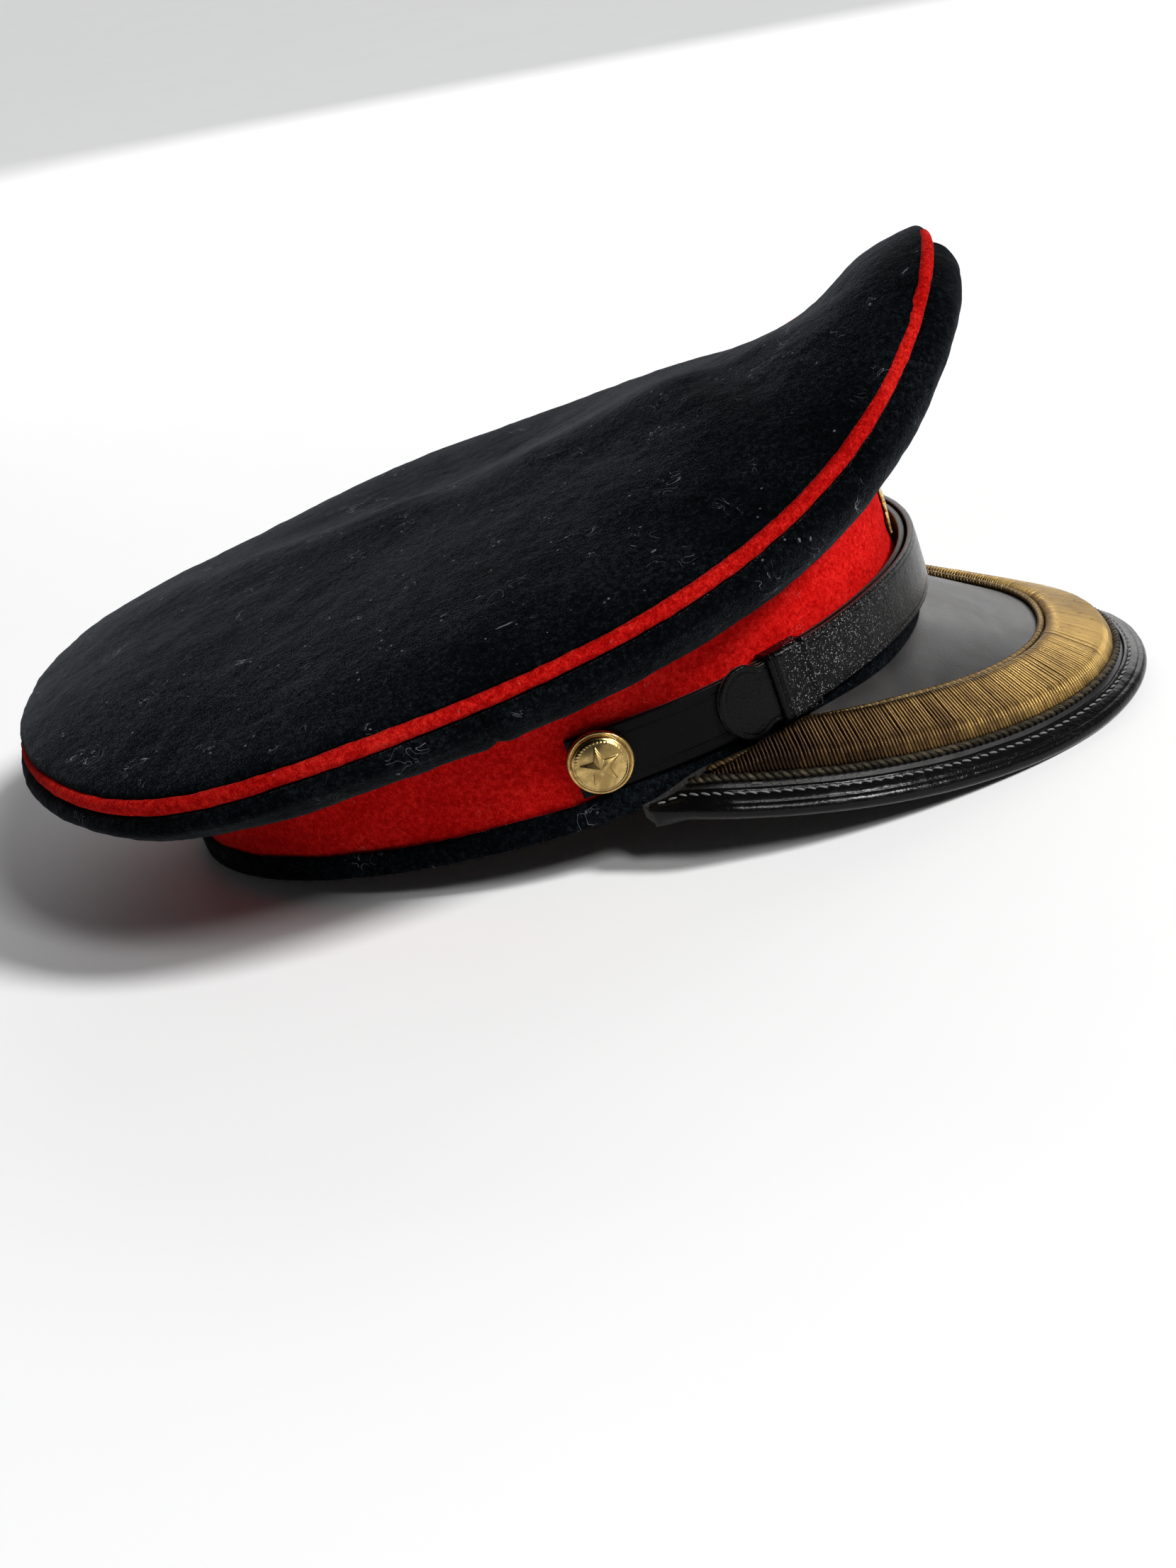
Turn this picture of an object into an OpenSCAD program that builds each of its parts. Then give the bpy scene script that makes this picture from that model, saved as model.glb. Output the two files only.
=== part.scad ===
// Officer's peaked (forage) cap, built as separate sewn, moulded and metal pieces.
// Millimetres. +X is the front (peak), +Y the wearer's left, +Z up.
// The cap is drawn on its own base plane and then set down in the attitude in
// which it rests on a table: on the rear of the base rim and the edge of the peak.

/* [Head oval] */
// Outer length of the base oval, front to back
base_len = 208; // [200:1:216]
// Outer width of the base oval
base_wid = 168; // [162:1:174]
// How much the base oval widens towards the front
base_egg = 0.06; // [0.03:0.01:0.08]

/* [Band] */
// Height of the band
band_h = 39.5; // [38:0.5:42]
// Height of the navy welt round the bottom edge
welt_h = 6.7; // [6.2:0.1:7]
// Thickness of the welt
welt_t = 1.8; // [1.4:0.1:2]
// Thickness of the scarlet band cloth
cloth_t = 1.5; // [1.2:0.1:1.6]

/* [Crown] */
// Length of the crown at its edge ring
crown_len = 270; // [262:1:278]
// Width of the crown at its edge ring
crown_wid = 230; // [222:1:238]
// How much the crown narrows towards the front
crown_egg = 0.17; // [0.12:0.01:0.2]
// Height of the edge ring at the sides
ring_z = 50.3; // [48:0.1:54]
// Extra height of the edge ring at the front
front_rise = 44.7; // [36:0.1:50]
// Angle over which the front rises
front_spread = 43; // [38:1:48]
// Height of the padded edge roll above the ring
edge_roll = 9; // [6:0.5:10]
// Thickness of the crown cloth
felt_t = 2; // [1.6:0.1:2.2]
// Radius of the red piping
piping_r = 2; // [1.6:0.1:2.1]

/* [Peak] */
// Reach of the peak from the middle of the base
peak_reach = 159.4; // [154:0.1:164]
// Half width of the peak at its widest
peak_half = 85.2; // [85:0.1:87]
// Fall of the peak at its middle, as a slope
peak_slope = 0.52; // [0.46:0.01:0.56]
// Width of the gold wire crescent at the front
crescent_w = 25; // [23:0.5:26]

/* [Chin strap] */
// Height of the strap
strap_h = 16; // [14:0.5:16]
// Thickness of each strap layer
strap_t = 1.7; // [1.4:0.1:1.8]
// Length of a keeper along the strap
keeper_len = 11; // [9:0.5:12]

/* [Fittings] */
// Diameter of a side button
button_d = 16.5; // [16:0.5:20]
// Place of the buttons in front of the middle of the base
button_x = 16; // [12:1:20]
// Width of the cap badge
badge_w = 20; // [17:0.5:20.5]

/* [Hidden] */

tilt = 7.52;                       // resting attitude, front up
lift = base_len / 2 * sin(tilt);   // brings the lowest point of the rim to z = 0
shift_x = -10;                    // centres the whole cap on the origin

navy = "#14181d";
scarlet = "#b4100e";
patent = "#0d0d0e";
gilt = "#c9a24a";

module place() { translate([shift_x, 0, lift]) rotate([0, -tilt, 0]) children(); }

// ---- shared curves --------------------------------------------------------
function sm(x) = x <= 0 ? 0 : x >= 1 ? 1 : x * x * (3 - 2 * x);
// base oval, moved in by "off" from the outer face of the welt
function base(t, off) = [(base_len / 2 - off) * cos(t),
                         (base_wid / 2 - off) * sin(t) * (1 + base_egg * cos(t))];
// crown edge ring in plan, and its height
crown_x = -3;
// the back of the ring is drawn in a little
function ring(t) = [crown_x + crown_len / 2 * cos(t) + 4.4 * exp(-pow((180 - abs(wrap(t))) / 34, 2)),
                    crown_wid / 2 * sin(t) * (1 - crown_egg * cos(t))];
function wrap(t) = t > 180 ? t - 360 : t < -180 ? t + 360 : t;
function ring_h(t) = ring_z + front_rise * exp(-pow(wrap(t) / front_spread, 2))
                     - 4.8 * exp(-pow((abs(wrap(t)) - 129) / 22, 2));
// offsets of the layers of the band, from the outer face of the welt
cloth_o = welt_t + 0.1;
cloth_i = cloth_o + cloth_t;
stiff_o = cloth_i + 0.15;
stiff_i = stiff_o + 1.2;
sweat_o = stiff_i + 1.8;
sweat_i = sweat_o + 1;

// section of the crown side at angle t: a point d outwards from the band top
// towards the ring, and z up, is put back in space
function side_len(t) = norm(ring(t) - base(t, cloth_o));
function side_dir(t) = (ring(t) - base(t, cloth_o)) / side_len(t);
function side_pt(t, p) = let (q = base(t, cloth_o) + side_dir(t) * p[0]) [q[0], q[1], p[1]];
function front_f(t) = exp(-pow(wrap(t) / 40, 2));
function side_ctl(t) = let (L = side_len(t), z = ring_h(t), f = front_f(t)) [
    [L + 0.6, z - piping_r - 0.3],
    [L + 5 + 15.1 * f, z - 11 - 5.2 * f],
    [0.6 * L - 1.8 * f, z - 20.5 - 6.5 * f],
    [0, band_h + 0.3]];
function bez(c, s) = c[0] * pow(1 - s, 3) + c[1] * 3 * s * pow(1 - s, 2)
                     + c[2] * 3 * s * s * (1 - s) + c[3] * pow(s, 3);
function bez_d(c, s) = (c[1] - c[0]) * pow(1 - s, 2) + (c[2] - c[1]) * 2 * s * (1 - s)
                       + (c[3] - c[2]) * s * s;
// the same curve moved inwards by o
function bez_in(c, s, o) = let (d = bez_d(c, s), n = [d[1], -d[0]] / norm(d)) bez(c, s) + n * o;

// crown top: a tensioned cloth over the ring plus a padded roll at its edge
fm = front_rise * front_spread * PI / 180 / 2 / sqrt(PI);
function fk(k) = 2 * fm * exp(-pow(k * front_spread * PI / 180 / 2, 2));
function top_z(r, t) = ring_z + fm + fk(1) * r * cos(t) + fk(2) * pow(r, 2) * cos(2 * t)
    + fk(3) * pow(r, 3) * cos(3 * t) + fk(4) * pow(r, 4) * cos(4 * t)
    + fk(5) * pow(r, 5) * cos(5 * t) + fk(6) * pow(r, 6) * cos(6 * t)
    - 4.8 * pow(r, 3) * exp(-pow((abs(wrap(t)) - 129) / 22, 2))
    + edge_roll * (0.7 * (1 - pow(r, 8)) + 0.3 * (1 - pow(r, 40)))
    + 1.5 * (1 - pow(r, 40)) * exp(-pow((180 - abs(wrap(t))) / 40, 2)) - top_dip(r, top_xy(r, t, 2.3));
// hollow behind the raised front
function top_dip(r, p) = 12.5 * exp(-pow((p[0] - 96) / 26, 2) - pow((p[1] - 55) / 64, 2)) * (1 - pow(r, 6));
function top_xy(r, t, inset) = let (c = [crown_x, 0], q = ring(t) - c, m = norm(q))
    c + q * r * (m - inset) / m;

// ---- shells ---------------------------------------------------------------
// P is a list of stations, each a closed loop of points that runs out along one
// side of the section and back along the other
function loft_faces(n, m, closed) = [
    for (i = [0 : (closed ? n - 1 : n - 2)], j = [0 : m - 1])
        let (a = i * m + j, b = i * m + (j + 1) % m,
             c = ((i + 1) % n) * m + (j + 1) % m, d = ((i + 1) % n) * m + j)
        each [[a, b, c], [a, c, d]]];
// for thin sheets: both faces are split along the same diagonals
function thin_faces(n, m) = [
    for (i = [0 : n - 2], j = [0 : m - 1])
        let (a = i * m + j, b = i * m + (j + 1) % m,
             c = (i + 1) * m + (j + 1) % m, d = (i + 1) * m + j)
        each (j < m / 2 ? [[a, b, c], [a, c, d]] : [[a, b, d], [b, c, d]])];
module loft(P, closed = true, flip = false, thin = false) {
    n = len(P);
    m = len(P[0]);
    f0 = thin ? thin_faces(n, m) : loft_faces(n, m, closed);
    e = (n - 1) * m;
    caps = closed ? [] : [for (j = [0 : m / 2 - 2])
        each [[j, m - 1 - j, m - 2 - j], [j, m - 2 - j, j + 1],
              [e + j, e + m - 2 - j, e + m - 1 - j], [e + j, e + j + 1, e + m - 2 - j]]];
    f = concat(f0, caps);
    polyhedron([for (s = P) each s], flip ? [for (q = f) [for (k = [len(q) - 1 : -1 : 0]) q[k]]] : f);
}
// a domed disc between an upper and a lower sheet, each given as rings of points
// around a middle point
module dome(U, L, cu, cl) {
    k = len(U);
    n = len(U[0]);
    pts = concat([cu], [for (r = U) each r], [cl], [for (r = L) each r]);
    o = 1 + k * n;
    f = concat(
        [for (i = [0 : n - 1]) [0, 1 + (i + 1) % n, 1 + i]],
        [for (r = [0 : k - 2], i = [0 : n - 1])
            let (a = 1 + r * n + i, b = 1 + r * n + (i + 1) % n, c = b + n, d = a + n)
            each [[a, b, c], [a, c, d]]],
        [for (i = [0 : n - 1])
            let (a = 1 + (k - 1) * n + i, b = 1 + (k - 1) * n + (i + 1) % n, c = o + b, d = o + a)
            each [[a, b, c], [a, c, d]]],
        [for (r = [0 : k - 2], i = [0 : n - 1])
            let (a = o + 1 + r * n + i, b = o + 1 + r * n + (i + 1) % n, c = b + n, d = a + n)
            each [[a, c, b], [a, d, c]]],
        [for (i = [0 : n - 1]) [o, o + 1 + i, o + 1 + (i + 1) % n]]);
    polyhedron(pts, f);
}
function steps(n) = [for (i = [0 : n - 1]) i * 360 / n];
// a plain band following the base oval
module band(o1, o2, z1, z2, n = 72) {
    loft([for (t = steps(n)) let (p = base(t, o1), q = base(t, o2))
        [[p[0], p[1], z1], [p[0], p[1], z2], [q[0], q[1], z2], [q[0], q[1], z1]]]);
}

// ---- crown ----------------------------------------------------------------
module crown_top() {
    rr = [0.2, 0.4, 0.6, 0.75, 0.86, 0.94, 0.98, 1];
    n = 60;
    place() color(navy) dome(
        [for (r = rr) [for (t = steps(n)) let (p = top_xy(r, t, 2.3)) [p[0], p[1], top_z(r, t)]]],
        [for (r = rr) [for (t = steps(n)) let (p = top_xy(r, t, 2.3 + 1.2 * r * r * r))
            [p[0], p[1], top_z(r, t) - felt_t]]],
        [crown_x, 0, top_z(0, 0)], [crown_x, 0, top_z(0, 0) - felt_t]);
}

module quarter(t1, t2) {
    s = [0, 0.12, 0.26, 0.42, 0.58, 0.74, 0.88, 1];
    n = 15;
    place() color(navy) loft([for (i = [0 : n]) let (t = t1 + (t2 - t1) * i / n, c = side_ctl(t))
        concat([for (a = s) side_pt(t, bez(c, a))],
               [for (k = [len(s) - 1 : -1 : 0]) side_pt(t, bez_in(c, s[k], felt_t))])],
        closed = false, flip = true);
}
module quarter_front_right() { quarter(-90, -0.12); }
module quarter_front_left() { quarter(0.12, 90); }
module quarter_rear_right() { quarter(-180, -90.12); }
module quarter_rear_left() { quarter(90.12, 180 - 0.12); }

module crown_piping() {
    place() color(scarlet) loft([for (t = steps(72)) let (L = side_len(t), z = ring_h(t))
        [for (a = [0 : 45 : 315]) side_pt(t, [L + piping_r * sin(a), z + piping_r * cos(a)])]]);
}
module crown_grommet() {
    place() color("silver") loft([for (t = steps(60)) let (L = side_len(t), z = ring_h(t))
        [for (a = [0 : 60 : 300]) side_pt(t, [L - 5 + 1.1 * sin(a), z - 4.4 + 1.1 * cos(a)])]]);
}
// sprung support that stands the front of the crown up
module front_stay() {
    s = [0.12, 0.3, 0.5, 0.7, 0.86];
    place() color("gainsboro") loft([for (i = [0 : 10]) let (t = -24 + 4.8 * i, c = side_ctl(t))
        concat([for (a = s) side_pt(t, bez_in(c, a, felt_t + 1))],
               [for (k = [len(s) - 1 : -1 : 0]) side_pt(t, bez_in(c, s[k], felt_t + 1.8))])],
        closed = false, flip = true);
}
// lining: hangs under the crown top and comes down to the top of the sweatband
function lining_pt(k, t, o) =
    k < 5 ? let (r = [0.25, 0.5, 0.7, 0.8, 0.86][k], p = top_xy(r, t, 4 + o)) [p[0], p[1], top_z(r, t) - felt_t - 3.5 - o] :
    let (q = base(t, sweat_o + 0.3 + o), e = top_xy(0.86, t, 4 + o), z1 = top_z(0.86, t) - felt_t - 3.5 - o,
         w = (k - 4) / 3, m = q + (e - q) * (1 - w),
         zz = (band_h + 4) * w + z1 * (1 - w))
    k == 7 ? [q[0], q[1], band_h - 1] : [m[0], m[1], zz];
module crown_lining() {
    n = 48;
    place() color("#5a1c22") dome(
        [for (k = [0 : 7]) [for (t = steps(n)) lining_pt(k, t, 0)]],
        [for (k = [0 : 7]) [for (t = steps(n)) let (p = lining_pt(k, t, 0.8)) k == 7 ? [p[0], p[1], band_h - 1] : p]],
        [crown_x, 0, top_z(0, 0) - felt_t - 3.5], [crown_x, 0, top_z(0, 0) - felt_t - 4.3]);
}
module sweat_shield() {
    n = 32;
    function sp(r, t, z) = let (p = top_xy(r * 0.4, t, 4)) [p[0], p[1], top_z(r * 0.4, t) - felt_t - z];
    place() color("gainsboro", 0.6) dome(
        [for (r = [0.5, 1]) [for (t = steps(n)) sp(r, t, 5)]],
        [for (r = [0.5, 1]) [for (t = steps(n)) sp(r, t, 5.4)]],
        [crown_x, 0, top_z(0, 0) - felt_t - 5], [crown_x, 0, top_z(0, 0) - felt_t - 5.4]);
}

// ---- band -----------------------------------------------------------------
btn_z = welt_h + 1.3 + strap_h / 2 + 0.5;
shank_r = 1.4;
lug_y = 5;
lug_z = 31;
module shank_hole(r) {
    translate([button_x, 120, btn_z]) rotate([90, 0, 0]) cylinder(r = r, h = 240, $fn = 32);
}
module lug_holes(r) {
    for (s = [-1, 1]) translate([60, s * lug_y, lug_z]) rotate([0, 90, 0]) cylinder(r = r, h = 60, $fn = 24);
}
module band_cloth() {
    place() color(scarlet) difference() {
        band(cloth_o, cloth_i, 1, band_h);
        shank_hole(shank_r + 0.2);
        lug_holes(1.2);
    }
}
module band_stiffener() {
    place() color("wheat") difference() {
        band(stiff_o, stiff_i, 1, band_h - 1.5);
        shank_hole(shank_r + 0.2);
        lug_holes(1.2);
    }
}
// the welt is turned under the bottom edge of the band
module bottom_welt() {
    place() color(navy) loft([for (t = steps(72)) let (a = base(t, 0), b = base(t, welt_t), c = base(t, stiff_i))
        [[a[0], a[1], 0], [a[0], a[1], welt_h - 0.5], [(a[0] + b[0]) / 2, (a[1] + b[1]) / 2, welt_h],
         [b[0], b[1], welt_h - 0.5], [b[0], b[1], 0.8], [c[0], c[1], 0.8], [c[0], c[1], 0]]]);
}
module sweatband() {
    place() color("#6b3a22") loft([for (t = steps(72)) let (p = base(t, sweat_o), q = base(t, sweat_i))
        [[p[0], p[1], 0.6], [p[0], p[1], band_h - 2], [q[0], q[1], band_h - 2], [q[0], q[1], 0.6]]]);
}
module sweatband_bow() {
    x = -(base_len / 2 - sweat_i) + 0.85;
    place() color("#2a2a2c") translate([x, 0, 9]) rotate([90, 0, 90]) union() {
        linear_extrude(1.1)
            polygon([[0.8, 1], [7, 3.4], [8, 0], [7, -3.4], [0.8, -1], [-0.8, -1], [-7, -3.4], [-8, 0], [-7, 3.4], [-0.8, 1]]);
        cylinder(r = 1.8, h = 1.7, $fn = 24);
    }
}

// ---- peak -----------------------------------------------------------------
pk_cx = peak_reach - 131.67;
pk_n = 2.14;
function spow(v, e) = sign(v) * pow(abs(v), e);
function pk_out(t) = [pk_cx + 131.67 * spow(cos(t), 2 / pk_n), peak_half * spow(sin(t), 2 / pk_n)];
function pk_nrm(t) = let (d = pk_out(t + 0.5) - pk_out(t - 0.5)) [d[1], -d[0]] / norm(d);
// the sides of the peak flare outwards behind the front curve
function flare(x) = 9 * sm((130 - x) / 70) * sm((x - 18) / 26);
function flare_y(p) = flare(p[0]) * sm(abs(p[1]) / 50);
// plan point a distance d in from the outer edge
function pk_in(t, d) = let (p = pk_out(t) - pk_nrm(t) * d) [p[0], p[1] + sign(p[1]) * flare_y(p)];
function pk_z0(p) = let (f = flare_y(p), y = abs(p[1]) - f)
    4.8 - peak_slope * (p[0] - 100) - 0.00535 * y * y - 0.00126 * pow(p[0] - 100, 2) + 0.41 * f;
function pk_sec(p) = sqrt(1 + pow(peak_slope + 0.00252 * (p[0] - 100), 2) + pow(0.0107 * p[1], 2));
pk_end = 91.5;
// inner edge of the peak, against the outer face of the welt, and its height there
function pk_foot(t) = base(t * 78 / pk_end, -0.15);
function foot_z(u) = 2.2 + 2.2 * sm((abs(u) - 30) / 22) - 3 * sm((abs(u) - 68) / 10);
// height of the top face at a plan point: eased to the foot height near the welt
function pk_z(p) = let (u = atan2(p[1] / (base_wid / 2), p[0] / (base_len / 2)), f = base(u, -0.15),
        k = max(0, 1 - (norm(p) - norm(f)) / 9))
    pk_z0(p) + (foot_z(u) - pk_z0(f)) * k * k;
// q runs from 0 at the band to 1 at the outer edge less d0
function pk_pt(t, q, w, d0) = let (f = pk_foot(t), o = pk_in(t, (d0 - w * pk_sin(t)) * pk_nar(t)), p = f + (o - f) * q)
    [p[0], p[1], pk_z(p) + w * pk_sec(p)];
// how steeply the peak falls outwards at its edge: sections are square to the surface
function pk_sin(t) = let (p = pk_in(t, 0), g = pk_nrm(t) * [peak_slope + 0.00252 * (p[0] - 100), 0.0107 * p[1]])
    g / sqrt(1 + g * g);
// the edge narrows where it runs into the welt
function pk_room(t) = let (p = pk_in(t, 0), f = base(atan2(p[1] / (base_wid / 2), p[0] / (base_len / 2)), -0.15))
    norm(p) - norm(f);
function pk_nar(t) = min(1, (pk_room(t) - 0.3) / 8);
// stations along the edge, closer together towards the ends
function pk_t(i, n) = let (v = 2 * i / n - 1) pk_end * (1.3 * v - 0.3 * v * v * v);
module pk_sheet(w1, w2, d0, n = 54) {
    qs = [0, 0.12, 0.26, 0.42, 0.58, 0.74, 0.88, 1];
    loft([for (i = [0 : n]) let (t = pk_t(i, n))
        concat([for (q = qs) pk_pt(t, q, w1, d0)],
               [for (k = [len(qs) - 1 : -1 : 0]) pk_pt(t, qs[k], w2, d0)])],
        closed = false, flip = false, thin = true);
}
module peak_top() { place() color("#1b1b1c") pk_sheet(-0.8, 0, 1.5); }
module peak_board() { place() color("tan") pk_sheet(-1.85, -0.85, 1.5); }
module peak_underside() { place() color("#20301f") pk_sheet(-2.4, -1.9, 1.5); }
// a point d in from the edge and w above the top face of the peak
function pk_w(t, d, w) = let (p = pk_in(t, d)) [p[0], p[1], pk_z(p) + w * pk_sec(p)];
module peak_binding() {
    prof = [[5.7, 0.35], [1.35, 0.35], [1.05, -0.6], [1.05, -1.8], [1.3, -2.75], [5.5, -2.75],
            [5.5, -3.25], [1.5, -3.35], [0.35, -2.5], [0.05, -0.6], [1.2, 0.95], [5.7, 0.85]];
    n = 54;
    place() color(patent) loft([for (i = [0 : n]) let (t = pk_t(i, n), k = pk_nar(t), e = 0.45 * sm((abs(t) - 82) / 7))
        [for (q = prof) pk_w(t, (q[0] - q[1] * pk_sin(t)) * k, q[1] + (q[1] > 0 ? e : q[1] < -2.7 ? -e : 0))]],
        closed = false, flip = true);
}
// distance of the inner gimp from the outer edge
function cres(t) = let (a = abs(t)) (a < 73 ? crescent_w - (crescent_w - 21.5) * (1 - cos(a * 180 / 73)) / 2
    : 21.5 - 0.93 * (a - 73)) - 1.2 * sm((a - 55) / 15) * sm((88 - a) / 12);
module gold_crescent() {
    n = 48;
    e = 85.5;
    place() color(gilt) loft([for (i = [0 : n]) let (t = -e + 2 * e * i / n, a = 8.15, b = cres(t) - 1.15, m = b - a,
            h = 1.9 * min(1, m / 6))
        [pk_w(t, a, 0.45), pk_w(t, b, 0.45), pk_w(t, b - 0.1 * m, 0.45 + 0.6 * h), pk_w(t, b - 0.3 * m, 0.45 + h),
         pk_w(t, a + 0.3 * m, 0.45 + h), pk_w(t, a + 0.1 * m, 0.45 + 0.6 * h)]], closed = false, flip = true);
}
module pk_cord(r, e, w, n, outer) {
    loft([for (i = [0 : n]) let (t = -e + 2 * e * i / n, d = outer ? 6.95 : cres(t))
        [for (a = [0 : 60 : 300]) pk_w(t, d + r * sin(a), w + r * cos(a))]], closed = false, flip = false);
}
module gimp_outer() { place() color("#3a3226") pk_cord(1.1, 87.5, 1.4, 60, true); }
module gimp_inner() { place() color("#8a6a35") pk_cord(0.95, 85.5, 1.25, 60, false); }

// ---- chin strap -----------------------------------------------------------
btn_t = acos(button_x / (base_len / 2 - 1));
strap_z0 = welt_h + 1.3;
strap_z1 = strap_z0 + strap_h;
// stand-off of the strap from the band cloth: close at the button, room for the
// keeper at the sides, room for the badge at the front
function gap(t) = 0.6 + 1.1 * sm((78 - abs(t)) / 14) + 0.7 * sm((40 - abs(t)) / 30);
function strap_off(t, o) = cloth_o - gap(t) - o;
function strap_ring(t, o, z) = let (p = base(t, strap_off(t, o))) [p[0], p[1], z];
tab_t = 64;
zc = (strap_z0 + strap_z1) / 2;
// strap from the right button, round the front, to a round end on the left
module strap_inner() {
    n = 56;
    e1 = -btn_t - 4;
    e2 = tab_t;
    place() color(patent) difference() {
        loft([for (i = [0 : n]) let (t = e1 + (e2 - e1) * i / n,
                h = t > 50 ? strap_h / 2 * sqrt(max(0.02, 1 - pow(max(0, (t - 59) / 5.02), 2))) : strap_h / 2)
            [strap_ring(t, 0, zc - h), strap_ring(t, 0, zc + h), strap_ring(t, strap_t, zc + h), strap_ring(t, strap_t, zc - h)]],
            closed = false, flip = true);
        shank_hole(shank_r + 0.25);
    }
}
// strap from the left button, over the other, to a wide round tab on the right
function outer_o(t) = (strap_t + 0.25) * sm((76 - t) / 9) + 0.5 * sm((34 - abs(t)) / 18);
module strap_outer() {
    n = 56;
    e1 = -tab_t;
    e2 = btn_t + 4;
    place() color(patent) difference() {
        loft([for (i = [0 : n]) let (t = e1 + (e2 - e1) * i / n,
                a = -t,
                w = strap_h / 2 + 1.7 * sm((a - 56.5) / 2.5),
                h = a > 50 ? w * sqrt(max(0.02, 1 - pow(max(0, (a - 59.5) / 4.52), 2))) : w,
                o = outer_o(t))
            [strap_ring(t, o, zc - h), strap_ring(t, o, zc + h), strap_ring(t, o + strap_t, zc + h), strap_ring(t, o + strap_t, zc - h)]],
            closed = false, flip = true);
        shank_hole(shank_r + 0.25);
    }
}
// keeper: a leather loop round both layers
keep_t = 52;
module keeper(s) {
    m = 6;
    half = keeper_len / 2 / (base_len / 2 - 12) * 180 / PI;
    c = 0.3;
    k = 0.9;
    t2 = 2 * strap_t + 0.25;
    place() color(patent) difference() {
        loft([for (i = [0 : m]) let (t = s * (keep_t - half + 2 * half * i / m))
            [strap_ring(t, -c - k, zc - strap_h / 2 - c - k), strap_ring(t, -c - k, zc + strap_h / 2 + c + k),
             strap_ring(t, t2 + c + k, zc + strap_h / 2 + c + k), strap_ring(t, t2 + c + k, zc - strap_h / 2 - c - k)]],
            closed = false, flip = s > 0);
        loft([for (i = [-1 : m + 1]) let (t = s * (keep_t - half + 2 * half * i / m))
            [strap_ring(t, -c, zc - strap_h / 2 - c), strap_ring(t, -c, zc + strap_h / 2 + c),
             strap_ring(t, t2 + c, zc + strap_h / 2 + c), strap_ring(t, t2 + c, zc - strap_h / 2 - c)]],
            closed = false, flip = s > 0);
    }
}
module keeper_right() { keeper(-1); }
module keeper_left() { keeper(1); }

// ---- buttons --------------------------------------------------------------
// outer face of the strap at the button, and inner face of the stiffener
btn_y = base(btn_t, strap_off(btn_t, strap_t))[1] + 0.75;
stiff_y = base(btn_t, stiff_i)[1] - 0.5;
module btn(s) { place() translate([button_x, 0, btn_z]) rotate([s < 0 ? 90 : -90, 0, 0]) children(); }
// domed gilt shell with a rope rim and a plain star
module button_shell(s) {
    r = button_d / 2;
    btn(s) translate([0, 0, btn_y]) color(gilt) {
        rotate_extrude($fn = 64) polygon(concat(
            [[0, 2.1], [r - 1.2, 0.75], [r - 0.9, 0.3], [r - 0.25, 0.3], [r, 0.9], [r - 0.35, 1.7]],
            [for (a = [20 : 10 : 80]) [(r - 0.9) * cos(a), 1.5 + 3 * sin(a)]], [[0, 4.5]]));
        translate([0, 0, 3.9]) linear_extrude(0.85)
            polygon([for (k = [0 : 9]) let (q = k % 2 == 0 ? 4.2 : 2.1) [q * sin(k * 36), q * cos(k * 36)]]);
    }
}
module button_back(s) {
    r = button_d / 2;
    btn(s) color("#a98a4a") union() {
        translate([0, 0, btn_y]) rotate_extrude($fn = 48)
            polygon([[0, 0], [r - 2.2, 0], [r - 1.3, 0.25], [r - 1.3, 0.6], [0, 1.9]]);
        translate([0, 0, stiff_y - 0.95]) cylinder(r = shank_r, h = btn_y - stiff_y + 1, $fn = 32);
        translate([0, 0, stiff_y - 0.95]) cylinder(r = 2, h = 0.3, $fn = 32);
    }
}
// spring clip behind the band
module button_clip(s) {
    btn(s) translate([0, 0, stiff_y - 0.58]) color("silver") difference() {
        cylinder(r = 4.2, h = 0.5, $fn = 40);
        translate([0, 0, -1]) cylinder(r = shank_r + 0.08, h = 3, $fn = 32);
    }
}
module button_shell_right() { button_shell(-1); }
module button_shell_left() { button_shell(1); }
module button_back_right() { button_back(-1); }
module button_back_left() { button_back(1); }
module button_clip_right() { button_clip(-1); }
module button_clip_left() { button_clip(1); }

// ---- badge ----------------------------------------------------------------
bdg_x = base_len / 2 - cloth_o + 0.08;
module badge() {
    r = badge_w / 2;
    place() color(gilt) difference() {
        union() {
            translate([bdg_x, 0, 30]) rotate([90, 0, 90]) {
                linear_extrude(0.8) polygon([for (i = [0 : 31]) let (q = i % 4 == 0 ? 1 : i % 2 == 0 ? 0.86 : 0.7)
                    [r * q * sin(i * 11.25), r * q * cos(i * 11.25)]]);
                cylinder(r = r * 0.5, h = 1.05, $fn = 48);
                cylinder(r = r * 0.38, h = 1.25, $fn = 48);
            }
            for (s = [-1, 1]) translate([bdg_x - 4.75, s * lug_y, lug_z]) rotate([0, 90, 0])
                cylinder(r = 0.95, h = 4.85, $fn = 24);
        }
        translate([bdg_x - 4.05, 20, lug_z]) rotate([90, 0, 0]) cylinder(r = 0.46, h = 40, $fn = 20);
    }
}
module badge_pin() {
    place() color("silver") translate([bdg_x - 4.05, 7, lug_z]) rotate([90, 0, 0]) cylinder(r = 0.4, h = 14, $fn = 20);
}

crown_top();
quarter_front_right();
quarter_front_left();
quarter_rear_right();
quarter_rear_left();
crown_piping();
crown_grommet();
front_stay();
crown_lining();
sweat_shield();
band_cloth();
band_stiffener();
bottom_welt();
sweatband();
sweatband_bow();
peak_top();
peak_board();
peak_underside();
peak_binding();
gold_crescent();
gimp_outer();
gimp_inner();
strap_inner();
strap_outer();
keeper_right();
keeper_left();
button_shell_right();
button_back_right();
button_shell_left();
button_back_left();
button_clip_right();
button_clip_left();
badge();
badge_pin();
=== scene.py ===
# Looks of an officer's peaked cap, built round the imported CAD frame.
# Shapes are worked out in millimetres on the cap's own base plane, with the same
# formulas as the CAD source, and then set down in the resting attitude.
import math
import bmesh
import bpy
import numpy as np
from mathutils import Matrix, Vector


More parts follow.
